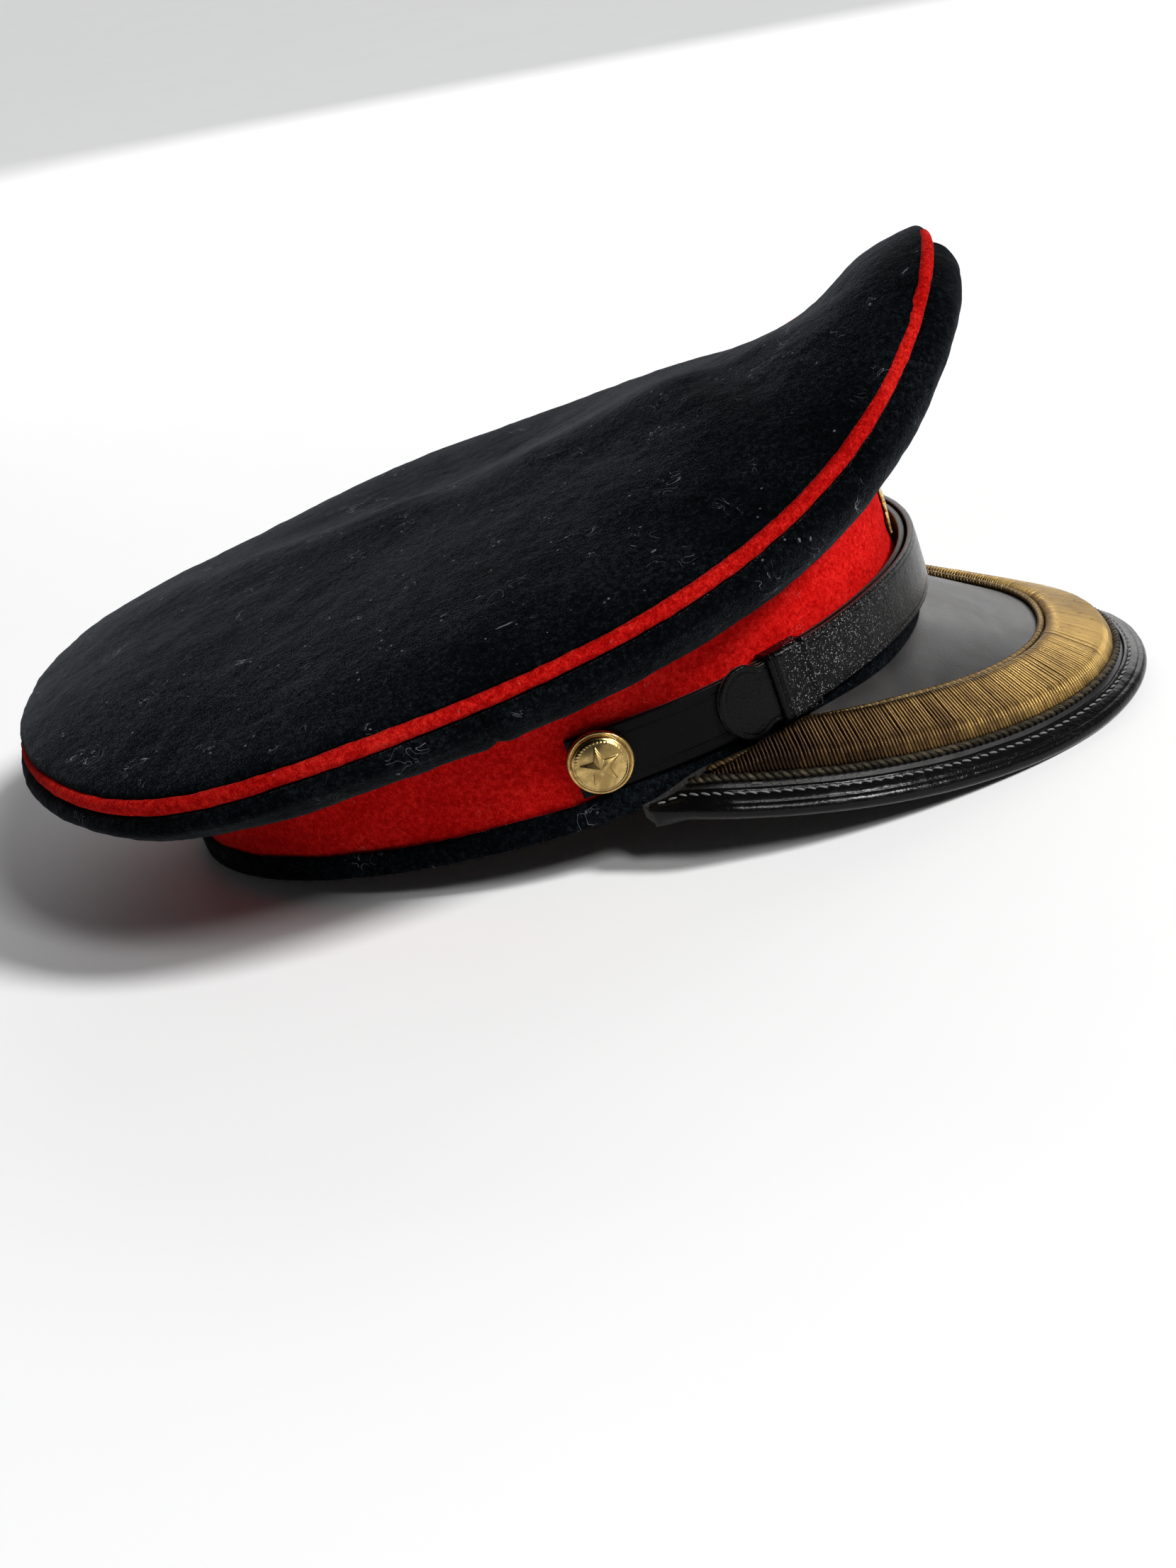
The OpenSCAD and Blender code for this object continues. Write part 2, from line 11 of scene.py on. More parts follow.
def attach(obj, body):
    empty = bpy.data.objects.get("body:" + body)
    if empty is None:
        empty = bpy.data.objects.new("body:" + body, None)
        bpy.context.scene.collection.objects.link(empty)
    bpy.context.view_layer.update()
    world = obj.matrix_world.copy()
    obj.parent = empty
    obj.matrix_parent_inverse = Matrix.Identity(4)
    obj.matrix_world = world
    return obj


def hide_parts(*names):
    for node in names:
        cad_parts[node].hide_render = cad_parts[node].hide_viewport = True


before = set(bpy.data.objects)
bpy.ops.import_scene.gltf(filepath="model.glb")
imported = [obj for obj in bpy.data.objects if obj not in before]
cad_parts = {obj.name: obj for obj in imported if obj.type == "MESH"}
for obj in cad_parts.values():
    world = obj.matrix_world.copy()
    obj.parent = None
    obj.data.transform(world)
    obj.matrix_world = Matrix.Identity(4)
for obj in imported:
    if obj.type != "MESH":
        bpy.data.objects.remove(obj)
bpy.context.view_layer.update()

# ---------------------------------------------------------------- numbers
TILT, SHIFT = 7.52, -10.0
WELT_T, WELT_H, BAND_H = 1.8, 6.7, 39.5
CLOTH_O = 1.9
CLOTH_I = 3.4
STIFF_I = 4.75
SWEAT_O, SWEAT_I = 6.55, 7.55
STRAP_T, STRAP_H = 1.7, 16.0
ZC = WELT_H + 1.3 + STRAP_H / 2
BTN_X, BTN_Z, BTN_R = 16.0, WELT_H + 1.3 + STRAP_H / 2 + 0.5, 8.25
BTN_T = math.degrees(math.acos(BTN_X / 103.0))
PK_END = 91.5


def cd(t):
    return np.cos(np.radians(t))


def sd(t):
    return np.sin(np.radians(t))


def sm(x):
    x = np.clip(x, 0, 1)
    return x * x * (3 - 2 * x)


LIFT = 104 * float(sd(TILT))
_c, _s = float(cd(TILT)), float(sd(TILT))


def row(P):
    """Cap frame in mm to the row frame in m."""
    P = np.asarray(P, float)
    x, y, z = P[..., 0], P[..., 1], P[..., 2]
    return np.stack([x * _c - z * _s + SHIFT, y, x * _s + z * _c + LIFT], -1) / 1000


def turn(v):
    """A direction in the cap frame to the row frame."""
    return Vector((v[0] * _c - v[2] * _s, v[1], v[0] * _s + v[2] * _c))


def v2(x, y):
    return np.stack(np.broadcast_arrays(np.asarray(x, float), np.asarray(y, float)), -1)


def v3(p, z):
    p, z = np.asarray(p, float), np.asarray(z, float)
    s = np.broadcast_shapes(p.shape[:-1], z.shape)
    return np.concatenate([np.broadcast_to(p, s + (2,)), np.broadcast_to(z[..., None] if z.shape else z, s + (1,))], -1)


def base(t, off):
    return v2((104 - off) * cd(t), (84 - off) * sd(t) * (1 + 0.06 * cd(t)))


def wrap(t):
    return (np.asarray(t, float) + 180) % 360 - 180


def ring(t):
    return v2(-3 + 135 * cd(t) + 4.4 * np.exp(-((180 - abs(wrap(t))) / 34) ** 2), 115 * sd(t) * (1 - 0.17 * cd(t)))


def ring_h(t):
    w = wrap(t)
    return 50.3 + 44.7 * np.exp(-(w / 43) ** 2) - 4.8 * np.exp(-((abs(w) - 129) / 22) ** 2)


def side_len(t):
    return np.linalg.norm(ring(t) - base(t, CLOTH_O), axis=-1)


def side_pt(t, d, z):
    b = base(t, CLOTH_O)
    r = (ring(t) - b) / side_len(t)[..., None]
    return v3(b + r * np.asarray(d)[..., None], z)


def side_curve(t, s, inner=0.0):
    """Section of the crown side: s from 0 at the piping to 1 at the band."""
    L, z, f = side_len(t), ring_h(t), np.exp(-(wrap(t) / 40) ** 2)
    c = [(L + 0.6, z - 2.3), (L + 5 + 15.1 * f, z - 11 - 5.2 * f), (0.6 * L - 1.8 * f, z - 20.5 - 6.5 * f), (0 * L, 0 * L + BAND_H + 0.3)]
    w = [(1 - s) ** 3, 3 * s * (1 - s) ** 2, 3 * s * s * (1 - s), s ** 3]
    g = [(1 - s) ** 2, 2 * s * (1 - s), s * s]
    d = sum(w[k] * c[k][0] for k in range(4))
    h = sum(w[k] * c[k][1] for k in range(4))
    if inner:
        dd = sum(g[k] * (c[k + 1][0] - c[k][0]) for k in range(3))
        dh = sum(g[k] * (c[k + 1][1] - c[k][1]) for k in range(3))
        m = np.sqrt(dd * dd + dh * dh)
        d, h = d + dh / m * inner, h - dd / m * inner
    return d, h


FM = 44.7 * math.radians(43) / 2 / math.sqrt(math.pi)


def top_z(r, t):
    z = 50.3 + FM + 0 * r * t
    for k in range(1, 7):
        z = z + 2 * FM * math.exp(-(k * math.radians(43) / 2) ** 2) * r ** k * cd(k * t)
    z = z - 4.8 * r ** 3 * np.exp(-((abs(wrap(t)) - 129) / 22) ** 2)
    z = z + 9 * (0.7 * (1 - r ** 8) + 0.3 * (1 - r ** 40)) + 1.5 * (1 - r ** 40) * np.exp(-((180 - abs(wrap(t))) / 40) ** 2)
    p = top_xy(r, t, 2.3)
    return z - 12.5 * np.exp(-((p[..., 0] - 96) / 26) ** 2 - ((p[..., 1] - 55) / 64) ** 2) * (1 - r ** 6)


def top_xy(r, t, inset):
    q = ring(t) - np.array([-3.0, 0])
    m = np.linalg.norm(q, axis=-1)
    return np.array([-3.0, 0]) + q * (r * (m - inset) / m)[..., None]


def spow(v, e):
    return np.sign(v) * np.abs(v) ** e


def pk_out(t):
    return v2(27.73 + 131.67 * spow(cd(t), 2 / 2.14), 85.2 * spow(sd(t), 2 / 2.14))


def flare_y(x, y):
    return 9 * sm((130 - x) / 70) * sm((x - 18) / 26) * sm(abs(y) / 50)


def pk_in(t, d):
    e = pk_out(t + 0.5) - pk_out(t - 0.5)
    n = v2(e[..., 1], -e[..., 0]) / np.linalg.norm(e, axis=-1)[..., None]
    p = pk_out(t) - n * np.asarray(d)[..., None]
    return v2(p[..., 0], p[..., 1] + np.sign(p[..., 1]) * flare_y(p[..., 0], p[..., 1]))


def pk_z0(p):
    x, y = p[..., 0], p[..., 1]
    f = flare_y(x, y)
    return 4.8 - 0.52 * (x - 100) - 0.00535 * (abs(y) - f) ** 2 - 0.00126 * (x - 100) ** 2 + 0.41 * f


def pk_sec(p):
    return np.sqrt(1 + (0.52 + 0.00252 * (p[..., 0] - 100)) ** 2 + (0.0107 * p[..., 1]) ** 2)


def pk_z(p):
    u = np.degrees(np.arctan2(p[..., 1] / 84, p[..., 0] / 104))
    f = base(u, -0.15)
    k = np.clip(1 - (np.linalg.norm(p, axis=-1) - np.linalg.norm(f, axis=-1)) / 9, 0, None)
    foot = 2.2 + 2.2 * sm((abs(u) - 30) / 22) - 3 * sm((abs(u) - 68) / 10)
    return pk_z0(p) + (foot - pk_z0(f)) * k * k


def pk_w(t, d, w):
    p = pk_in(t, d)
    return v3(p, pk_z(p) + w * pk_sec(p))


def pk_sin(t):
    p = pk_in(t, 0 * t)
    e = pk_out(t + 0.5) - pk_out(t - 0.5)
    m = np.linalg.norm(e, axis=-1)
    g = e[..., 1] / m * (0.52 + 0.00252 * (p[..., 0] - 100)) - e[..., 0] / m * 0.0107 * p[..., 1]
    return g / np.sqrt(1 + g * g)


def pk_nar(t):
    p = pk_in(t, 0 * t)
    f = base(np.degrees(np.arctan2(p[..., 1] / 84, p[..., 0] / 104)), -0.15)
    return np.minimum(1, (np.linalg.norm(p, axis=-1) - np.linalg.norm(f, axis=-1) - 0.3) / 8)


def pk_edge(t, d, w):
    """A point of a section square to the peak's surface at its edge."""
    return pk_w(t, (d - w * pk_sin(t)) * pk_nar(t), w)


def cres(t):
    a = abs(t)
    c = np.where(a < 73, 25 - 3.5 * (1 - cd(a * 180 / 73)) / 2, 21.5 - 0.93 * (a - 73))
    return c - 1.2 * sm((a - 55) / 15) * sm((88 - a) / 12)


def gap(t):
    return 0.6 + 1.1 * sm((78 - abs(t)) / 14) + 0.7 * sm((40 - abs(t)) / 30)


def outer_o(t):
    return (STRAP_T + 0.25) * sm((76 - t) / 9) + 0.5 * sm((34 - abs(t)) / 18)


def strap_pt(t, o, z):
    return v3(base(t, CLOTH_O - gap(t) - o), z)


# ---------------------------------------------------------------- noise
def vnoise(P, size, seed=0):
    """Smooth value noise from -1 to 1, the same on every run."""
    q = np.asarray(P, float) / size + 1000.0
    i = np.floor(q).astype(np.int64)
    f = q - i
    f = f * f * f * (f * (f * 6 - 15) + 10)
    M = 0xFFFFFFFF

    def h(a, b, c):
        n = ((i[..., 0] + a) * 73856093) ^ ((i[..., 1] + b) * 19349663) ^ ((i[..., 2] + c) * 83492791) ^ (seed * 40503 + 977)
        n = (n & M)
        n = ((n ^ (n >> 13)) * 1274126177) & M
        n = ((n ^ (n >> 16)) * 1181783497) & M
        n = n ^ (n >> 13)
        return n / M * 2 - 1
    x, y, z = f[..., 0], f[..., 1], f[..., 2]
    a = h(0, 0, 0) * (1 - x) + h(1, 0, 0) * x
    b = h(0, 1, 0) * (1 - x) + h(1, 1, 0) * x
    c = h(0, 0, 1) * (1 - x) + h(1, 0, 1) * x
    d = h(0, 1, 1) * (1 - x) + h(1, 1, 1) * x
    return (a * (1 - y) + b * y) * (1 - z) + (c * (1 - y) + d * y) * z


def unit(a):
    return a / np.maximum(np.linalg.norm(a, axis=-1, keepdims=True), 1e-12)


def slopes(P, wu=False, wv=False):
    du = np.roll(P, -1, 0) - np.roll(P, 1, 0) if wu else np.gradient(P, axis=0)
    dv = np.roll(P, -1, 1) - np.roll(P, 1, 1) if wv else np.gradient(P, axis=1)
    return du, dv


def normals(P, wu=False, wv=False):
    du, dv = slopes(P, wu, wv)
    return unit(np.cross(du, dv))


# ---------------------------------------------------------------- meshes
def quads(n, m, wu=False, wv=False, o=0):
    i = np.arange(n if wu else n - 1)[:, None]
    j = np.arange(m if wv else m - 1)[None, :]
    a = i * m + j
    b = i * m + (j + 1) % m
    c = (i + 1) % n * m + (j + 1) % m
    d = (i + 1) % n * m + j
    return np.stack([a, b, c, d], -1).reshape(-1, 4) + o


class Build:
    def __init__(self):
        self.V, self.F, self.M, self.S, self.A, self.R, self.n = [], [], [], [], [], [], 0

    def add(self, V, F, mat=0, smooth=True, st=None, rnd=0.5, orient=True):
        V = np.asarray(V, float).reshape(-1, 3)
        if not isinstance(F, (list, tuple)):
            F = [F]
        F = [np.asarray(f, np.int64) for f in F if len(f)]
        if orient:
            vol = 0.0
            C = V.mean(0)
            W = V - C
            for f in F:
                for k in range(1, f.shape[1] - 1):
                    vol += float(np.einsum("ij,ij->", W[f[:, 0]], np.cross(W[f[:, k]], W[f[:, k + 1]])))
            if vol < 0:
                F = [f[:, ::-1] for f in F]
        self.V.append(V)
        for f in F:
            self.F.append(f + self.n)
            self.M.append(np.full(len(f), mat))
            self.S.append(np.full(len(f), smooth))
        self.A.append(np.zeros_like(V) if st is None else np.asarray(st, float).reshape(-1, 3))
        self.R.append(np.full(len(V), rnd) if np.isscalar(rnd) else np.asarray(rnd, float).reshape(-1))
        self.n += len(V)
        return self

    def loft(self, P, closed=True, caps="strip", **kw):
        """P: stations x loop points. Loops are closed; stations too, if closed."""
        n, m = P.shape[:2]
        F = [quads(n, m, closed, True)]
        if not closed and caps == "strip":
            j = np.arange(m // 2 - 1)
            e = (n - 1) * m
            F.append(np.stack([j, m - 1 - j, m - 2 - j, j + 1], -1))
            F.append(np.stack([e + j, e + j + 1, e + m - 2 - j, e + m - 1 - j], -1))
            return self.add(P, F, **kw)
        if not closed:
            V = np.concatenate([P.reshape(-1, 3), [P[0].mean(0)], [P[-1].mean(0)]])
            j = np.arange(m)
            a, b = n * m, n * m + 1
            F.append(np.stack([j * 0 + a, (j + 1) % m, j], -1))
            F.append(np.stack([j * 0 + b, (n - 1) * m + j, (n - 1) * m + (j + 1) % m], -1))
            if kw.get("st") is not None:
                st = np.asarray(kw["st"], float).reshape(-1, 3)
                kw["st"] = np.concatenate([st, st[:1], st[-1:]])
            return self.add(V, F, **kw)
        return self.add(P, F, **kw)

    def make(self, name, mats, body="root", stands=()):
        V = np.concatenate(self.V)
        me = bpy.data.meshes.new(name)
        me.vertices.add(len(V))
        me.vertices.foreach_set("co", row(V).astype(np.float32).ravel())
        loops = np.concatenate([f.ravel() for f in self.F]).astype(np.int32)
        sizes = np.concatenate([np.full(len(f), f.shape[1]) for f in self.F])
        me.loops.add(len(loops))
        me.loops.foreach_set("vertex_index", loops)
        me.polygons.add(len(sizes))
        me.polygons.foreach_set("loop_start", np.concatenate([[0], np.cumsum(sizes)[:-1]]).astype(np.int32))
        me.polygons.foreach_set("material_index", np.concatenate(self.M).astype(np.int32))
        me.polygons.foreach_set("use_smooth", np.concatenate(self.S).astype(bool))
        me.update(calc_edges=True)
        me.validate()
        bm = bmesh.new()
        bm.from_mesh(me)
        bmesh.ops.recalc_face_normals(bm, faces=bm.faces)
        bm.to_mesh(me)
        bm.free()
        a = me.attributes.new("st", "FLOAT_VECTOR", "POINT")
        a.data.foreach_set("vector", np.concatenate(self.A).astype(np.float32).ravel())
        a = me.attributes.new("rnd", "FLOAT", "POINT")
        a.data.foreach_set("value", np.concatenate(self.R).astype(np.float32))
        o = bpy.data.objects.new(name, me)
        bpy.context.scene.collection.objects.link(o)
        for m in mats if isinstance(mats, (list, tuple)) else [mats]:
            me.materials.append(m)
        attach(o, body)
        if stands:
            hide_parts(*stands)
        return o


def tube(P, r, m=8, up=(0, 0, 1), flat=1.0, closed=False):
    """Loops of a round cord along points P; r may vary along it."""
    P = np.asarray(P, float)
    T = unit(np.roll(P, -1, 0) - np.roll(P, 1, 0)) if closed else unit(np.gradient(P, axis=0))
    U = np.broadcast_to(np.asarray(up, float), P.shape)
    B = unit(np.cross(T, U))
    N = unit(np.cross(B, T))
    a = np.arange(m) * 2 * np.pi / m
    r = np.broadcast_to(np.asarray(r, float), (len(P),))
    return P[:, None] + r[:, None, None] * (np.cos(a)[None, :, None] * N[:, None] * flat + np.sin(a)[None, :, None] * B[:, None])


def twisted(b, P, radius, pitch, strands=2, m=8, up=(0, 0, 1), share=0.56, lay=0.5, jitter=0.0, seed=1):
    """A laid cord: strands wound round the line P."""
    P = np.asarray(P, float)
    seg = np.linalg.norm(np.diff(P, axis=0), axis=1)
    s = np.concatenate([[0], np.cumsum(seg)])
    n = int(s[-1] / (pitch / 12)) + 2
    q = np.linspace(0, s[-1], n)
    C = np.stack([np.interp(q, s, P[:, k]) for k in range(3)], -1)
    T = unit(np.gradient(C, axis=0))
    U = np.broadcast_to(np.asarray(up, float), C.shape)
    B = unit(np.cross(T, U))
    N = unit(np.cross(B, T))
    ends = np.minimum(sm((q + 0.4) / 1.2), sm((s[-1] - q + 0.4) / 1.2))
    for k in range(strands):
        ph = 2 * np.pi * (q / pitch + k / strands) + jitter * vnoise(np.stack([q, q * 0, q * 0], -1), 9, seed)
        L = C + (lay * radius * ends)[:, None] * (np.cos(ph)[:, None] * N + np.sin(ph)[:, None] * B)
        loop = tube(L, share * radius * (0.5 + 0.5 * ends), m, up)
        st = np.stack(np.broadcast_arrays(q[:, None], np.arange(m)[None] * 1.0, 0.0 * q[:, None] + k), -1)
        b.loft(loop, closed=False, caps="fan", st=st, rnd=0.3 + 0.4 * k)
    return s[-1]


def stitch(b, p, q, n, r=0.3, sink=0.35, mat=0):
    """One thread stitch from p to q, bowed a little along n."""
    p, q, n = map(np.asarray, (p, q, n))
    u = np.linspace(0, 1, 7)
    C = p + (q - p) * u[:, None] + n * (r * 0.9 * np.sin(np.pi * u) - sink * r)[:, None]
    R = r * np.array([0.45, 0.85, 1, 1, 1, 0.85, 0.45])
    b.loft(tube(C, R, 6, n), closed=False, caps="fan", mat=mat)


# ---------------------------------------------------------------- materials
class Mat:
    def __init__(self, name):
        self.m = bpy.data.materials.new(name)
        self.m.use_nodes = True
        self.t = self.m.node_tree
        self.t.nodes.clear()
        self.out = self.t.nodes.new("ShaderNodeOutputMaterial")
        self.b = self.t.nodes.new("ShaderNodeBsdfPrincipled")
        self.t.links.new(self.b.outputs[0], self.out.inputs[0])
        self.co = self.t.nodes.new("ShaderNodeTexCoord").outputs["Object"]

    def put(self, sock, v):
        if isinstance(v, bpy.types.NodeSocket):
            self.t.links.new(v, sock)
        elif isinstance(v, (tuple, list)) and sock.type == "RGBA":
            sock.default_value = (*v[:3], 1)
        else:
            sock.default_value = v

    def set(self, **kw):
        for k, v in kw.items():
            self.put(self.b.inputs[k.replace("_", " ")], v)
        return self

    def attr(self, name, out="Vector"):
        n = self.t.nodes.new("ShaderNodeAttribute")
        n.attribute_name = name
        return n.outputs[out]

    def map(self, scale=(1, 1, 1), rot=(0, 0, 0), vec=None):
        n = self.t.nodes.new("ShaderNodeMapping")
        self.put(n.inputs["Vector"], vec or self.co)
        n.inputs["Scale"].default_value = scale
        n.inputs["Rotation"].default_value = rot
        return n.outputs[0]

    def noise(self, scale, detail=2.0, rough=0.5, dist=0.0, vec=None):
        n = self.t.nodes.new("ShaderNodeTexNoise")
        self.put(n.inputs["Vector"], vec or self.co)
        n.inputs["Scale"].default_value = scale
        n.inputs["Detail"].default_value = detail
        n.inputs["Roughness"].default_value = rough
        n.inputs["Distortion"].default_value = dist
        return n.outputs[0]

    def voro(self, scale, feature="F1", vec=None, out=0, rand=1.0):
        n = self.t.nodes.new("ShaderNodeTexVoronoi")
        n.feature = feature
        self.put(n.inputs["Vector"], vec or self.co)
        n.inputs["Scale"].default_value = scale
        n.inputs["Randomness"].default_value = rand
        return n.outputs[out]

    def math(self, op, a, b=None, c=None):
        n = self.t.nodes.new("ShaderNodeMath")
        n.operation = op
        for k, v in enumerate((a, b, c)):
            if v is not None:
                self.put(n.inputs[k], v)
        return n.outputs[0]

    def lin(self, v, a, b, c=0.0, d=1.0):
        """Maps v from a..b to c..d, smoothly and clamped."""
        n = self.t.nodes.new("ShaderNodeMapRange")
        n.interpolation_type = "SMOOTHSTEP"
        for k, x in enumerate((v, a, b, c, d)):
            self.put(n.inputs[k], x)
        return n.outputs[0]

    def ramp(self, fac, stops):
        n = self.t.nodes.new("ShaderNodeValToRGB")
        self.put(n.inputs[0], fac)
        e = n.color_ramp.elements
        while len(e) < len(stops):
            e.new(0.5)
        for k, (p, c) in enumerate(stops):
            e[k].position = p
            e[k].color = (*c, 1) if isinstance(c, (tuple, list)) else (c, c, c, 1)
        return n.outputs[0]

    def mix(self, f, a, b):
        n = self.t.nodes.new("ShaderNodeMix")
        n.data_type = "RGBA"
        self.put(n.inputs[0], f)
        self.put(n.inputs[6], a)
        self.put(n.inputs[7], b)
        return n.outputs[2]

    def sep(self, vec, k):
        n = self.t.nodes.new("ShaderNodeSeparateXYZ")
        self.put(n.inputs[0], vec)
        return n.outputs[k]

    def bump(self, h, strength, dist, normal=None):
        n = self.t.nodes.new("ShaderNodeBump")
        self.put(n.inputs["Height"], h)
        n.inputs["Strength"].default_value = strength
        n.inputs["Distance"].default_value = dist
        if normal is not None:
            self.put(n.inputs["Normal"], normal)
        return n.outputs[0]

    def done(self):
        return self.m


def felt(name, dark, mid, light, sheen=0.3, tint=(0.8, 0.85, 1.0), lint=0.0, lintcol=(0.3, 0.31, 0.33), nap=1.0, spec=0.02):
    """Napped wool cloth: clumped nap, single fibres, stray pale hairs."""
    m = Mat(name)
    clump = m.noise(750, 3, 0.62, 0.4)
    fibre = m.noise(2600, 2, 0.6, 0.8, m.map((1, 0.55, 1), (0.4, 0.2, 0.6)))
    fine = m.noise(5200, 1, 0.5)
    broad = m.noise(38, 3, 0.55)
    h = m.math("ADD", m.math("MULTIPLY", clump, 0.42), m.math("ADD", m.math("MULTIPLY", fibre, 0.38), m.math("MULTIPLY", fine, 0.2)))
    tone = m.math("ADD", m.math("MULTIPLY", h, 0.82), m.math("MULTIPLY", broad, 0.18))
    col = m.ramp(tone, [(0.43, dark), (0.51, mid), (0.60, light)])
    if lint:
        line = m.lin(m.math("ABSOLUTE", m.math("SUBTRACT", m.noise(150, 1, 0.4, 1.8), 0.5)), 0.002, 0.0075, 1.0, 0.0)
        part = m.lin(m.noise(80, 2, 0.6), 0.61, 0.65)
        hair = m.math("MULTIPLY", line, part)
        speck = m.math("MULTIPLY", m.lin(m.voro(420, vec=m.map((1, 1, 0.5), (0.7, 0.1, 0.9))), 0.10, 0.17, 1.0, 0.0),
                       m.lin(m.noise(160, 1, 0.5), 0.60, 0.66))
        f = m.math("MULTIPLY", m.math("MAXIMUM", hair, m.math("MULTIPLY", speck, 0.7)), lint)
        col = m.mix(f, col, lintcol)
    m.set(Base_Color=col, Roughness=m.lin(h, 0.35, 0.65, 1.0, 0.86), Specular_IOR_Level=spec,
          Sheen_Weight=sheen, Sheen_Roughness=0.14, Sheen_Tint=tint,
          Normal=m.bump(m.noise(260, 2, 0.5), 0.25 * nap, 0.0009, m.bump(h, 0.95 * nap, 0.0006)))
    return m.done()


def patent(name, rough=0.13, pebble=0.5, crack=0.35, tone=0.0045, coat=1.0, painted_glints=0.0):
    """Patent leather: hard clear coat over black, finely pebbled, crazed in patches and
    lighter where scuffed; pale specks painted along the front quarters stand for glints of light."""
    m = Mat(name)
    peb = m.noise(1500, 3, 0.62, 0.3)
    broad = m.noise(240, 2, 0.5)
    craze = m.lin(m.voro(620, "DISTANCE_TO_EDGE", vec=m.map((1, 1, 1.6))), 0.0, 0.05, 0.0, 1.0)
    where = m.lin(m.noise(34, 2, 0.5), 0.44, 0.6)
    scuff = m.lin(m.noise(120, 4, 0.7, 1.5), 0.55, 0.75)
    n1 = m.bump(broad, 0.35, 0.0004, m.bump(peb, pebble, 0.0003))
    n2 = m.bump(m.math("MULTIPLY", craze, where), crack, 0.00025, n1)
    col = m.mix(m.math("MULTIPLY", scuff, 0.4), (tone, tone, tone * 1.1), (tone * 3.0, tone * 3.0, tone * 3.0))
    # painted glints: pale specks painted into the colour along the front quarters, standing for light catching the
    # crazed coat
    if painted_glints:
        zone = m.math("MULTIPLY", m.lin(m.sep(m.co, 0), 0.050, 0.054), m.lin(m.sep(m.co, 0), 0.094, 0.064, 0.0, 1.0))
        cell = m.lin(m.voro(2500, "F1", vec=m.map((1, 1, 1), (0.3, 0.5, 0.1))), 0.20, 0.42, 1.0, 0.0)
        pick = m.lin(m.noise(1500, 2, 0.6), 0.50, 0.62)
        painted_glint_mask = m.math("MULTIPLY", m.math("MULTIPLY", zone, cell), m.math("MULTIPLY", pick, painted_glints))
        col = m.mix(painted_glint_mask, col, (0.62, 0.62, 0.64))
    m.set(Base_Color=col, Roughness=m.lin(scuff, 0, 1, rough + 0.05, rough + 0.22), Specular_IOR_Level=0.04,
          Coat_Weight=coat, Coat_IOR=1.32, Coat_Roughness=m.lin(scuff, 0, 1, rough * 0.5, rough * 1.3), Normal=n2, Coat_Normal=n1)
    return m.done()


def metal(name, dark, bright, rough=0.22, scale=400.0, bump=0.12, tone_patches=0.5):
    m = Mat(name)
    n = m.noise(scale, 3, 0.6, 0.4)
    g = m.lin(m.noise(scale * 0.35, 4, 0.7, 0.8), 0.42, 0.66)
    fine = m.noise(scale * 6, 2, 0.5, vec=m.map((1, 1, 0.15)))
    col = m.mix(m.math("MULTIPLY", g, tone_patches), bright, dark)
    m.set(Base_Color=col, Metallic=1.0, Roughness=m.lin(m.math("ADD", g, m.math("MULTIPLY", fine, 0.4)), 0.1, 1.2, rough, rough + 0.22),
          Normal=m.bump(m.math("ADD", n, m.math("MULTIPLY", fine, 0.3)), bump, 0.00025))
    return m.done()


def wires(name, dark, mid, bright, rough=0.3, front=None):
    """Drawn wire: each one keeps its own tone, with fine cross winding."""
    m = Mat(name)
    st = m.attr("st")
    r = m.attr("rnd", "Fac")
    n = m.noise(0.55, 3, 0.65, 0.6, vec=st)
    # broad lighter and darker patches in the wire tone
    tone_patches = m.noise(70, 3, 0.6)
    f = m.math("ADD", m.math("MULTIPLY", r, 0.3), m.math("ADD", m.math("MULTIPLY", n, 0.3), m.math("MULTIPLY", tone_patches, 0.5)))
    # painted reflection: the tone rises towards the front and falls towards the rear, standing for how the light
    # catches the wire
    if front is not None:
        f = m.math("ADD", f, m.lin(m.sep(m.co, 0), front[0], front[1], -front[2], front[2]))
    col = m.ramp(f, [(0.3, dark), (0.56, mid), (0.86, bright)])
    wind = m.t.nodes.new("ShaderNodeTexWave")
    wind.wave_type, wind.bands_direction = "BANDS", "Y"
    m.put(wind.inputs["Vector"], st)
    wind.inputs["Scale"].default_value = 2.2
    wind.inputs["Distortion"].default_value = 0.8
    m.set(Base_Color=col, Metallic=0.92, Roughness=m.lin(n, 0.3, 0.7, rough, rough + 0.2),
          Normal=m.bump(wind.outputs[1], 0.35, 0.00012))
    return m.done()


NAVY = felt("navy_wool", (0.0003, 0.0006, 0.0009), (0.0012, 0.0020, 0.0027), (0.009, 0.0115, 0.014), 0.13, (0.85, 0.9, 1.0), lint=0.5)
RED = felt("scarlet_wool", (0.34, 0.0015, 0.001), (0.54, 0.006, 0.005), (0.72, 0.02, 0.015), 0.05, (1.0, 0.45, 0.4), lint=0.12, lintcol=(0.8, 0.35, 0.3))
PIPE = felt("scarlet_piping", (0.23, 0.001, 0.001), (0.40, 0.0055, 0.004), (0.58, 0.022, 0.014), 0.05, (1.0, 0.45, 0.4), lint=0.1, lintcol=(0.8, 0.35, 0.3))
# the last number sets how strong the painted glints on the strap are
PATENT = patent("patent_strap", 0.13, 0.6, 0.4, 0.0016, 0.30, 0.55)
PATENT_IN = patent("patent_strap_under", 0.34, 0.3, 0.3, 0.0018, 0.10)
BINDING = patent("patent_binding", 0.22, 0.25, 0.3, 0.0022, 0.5)


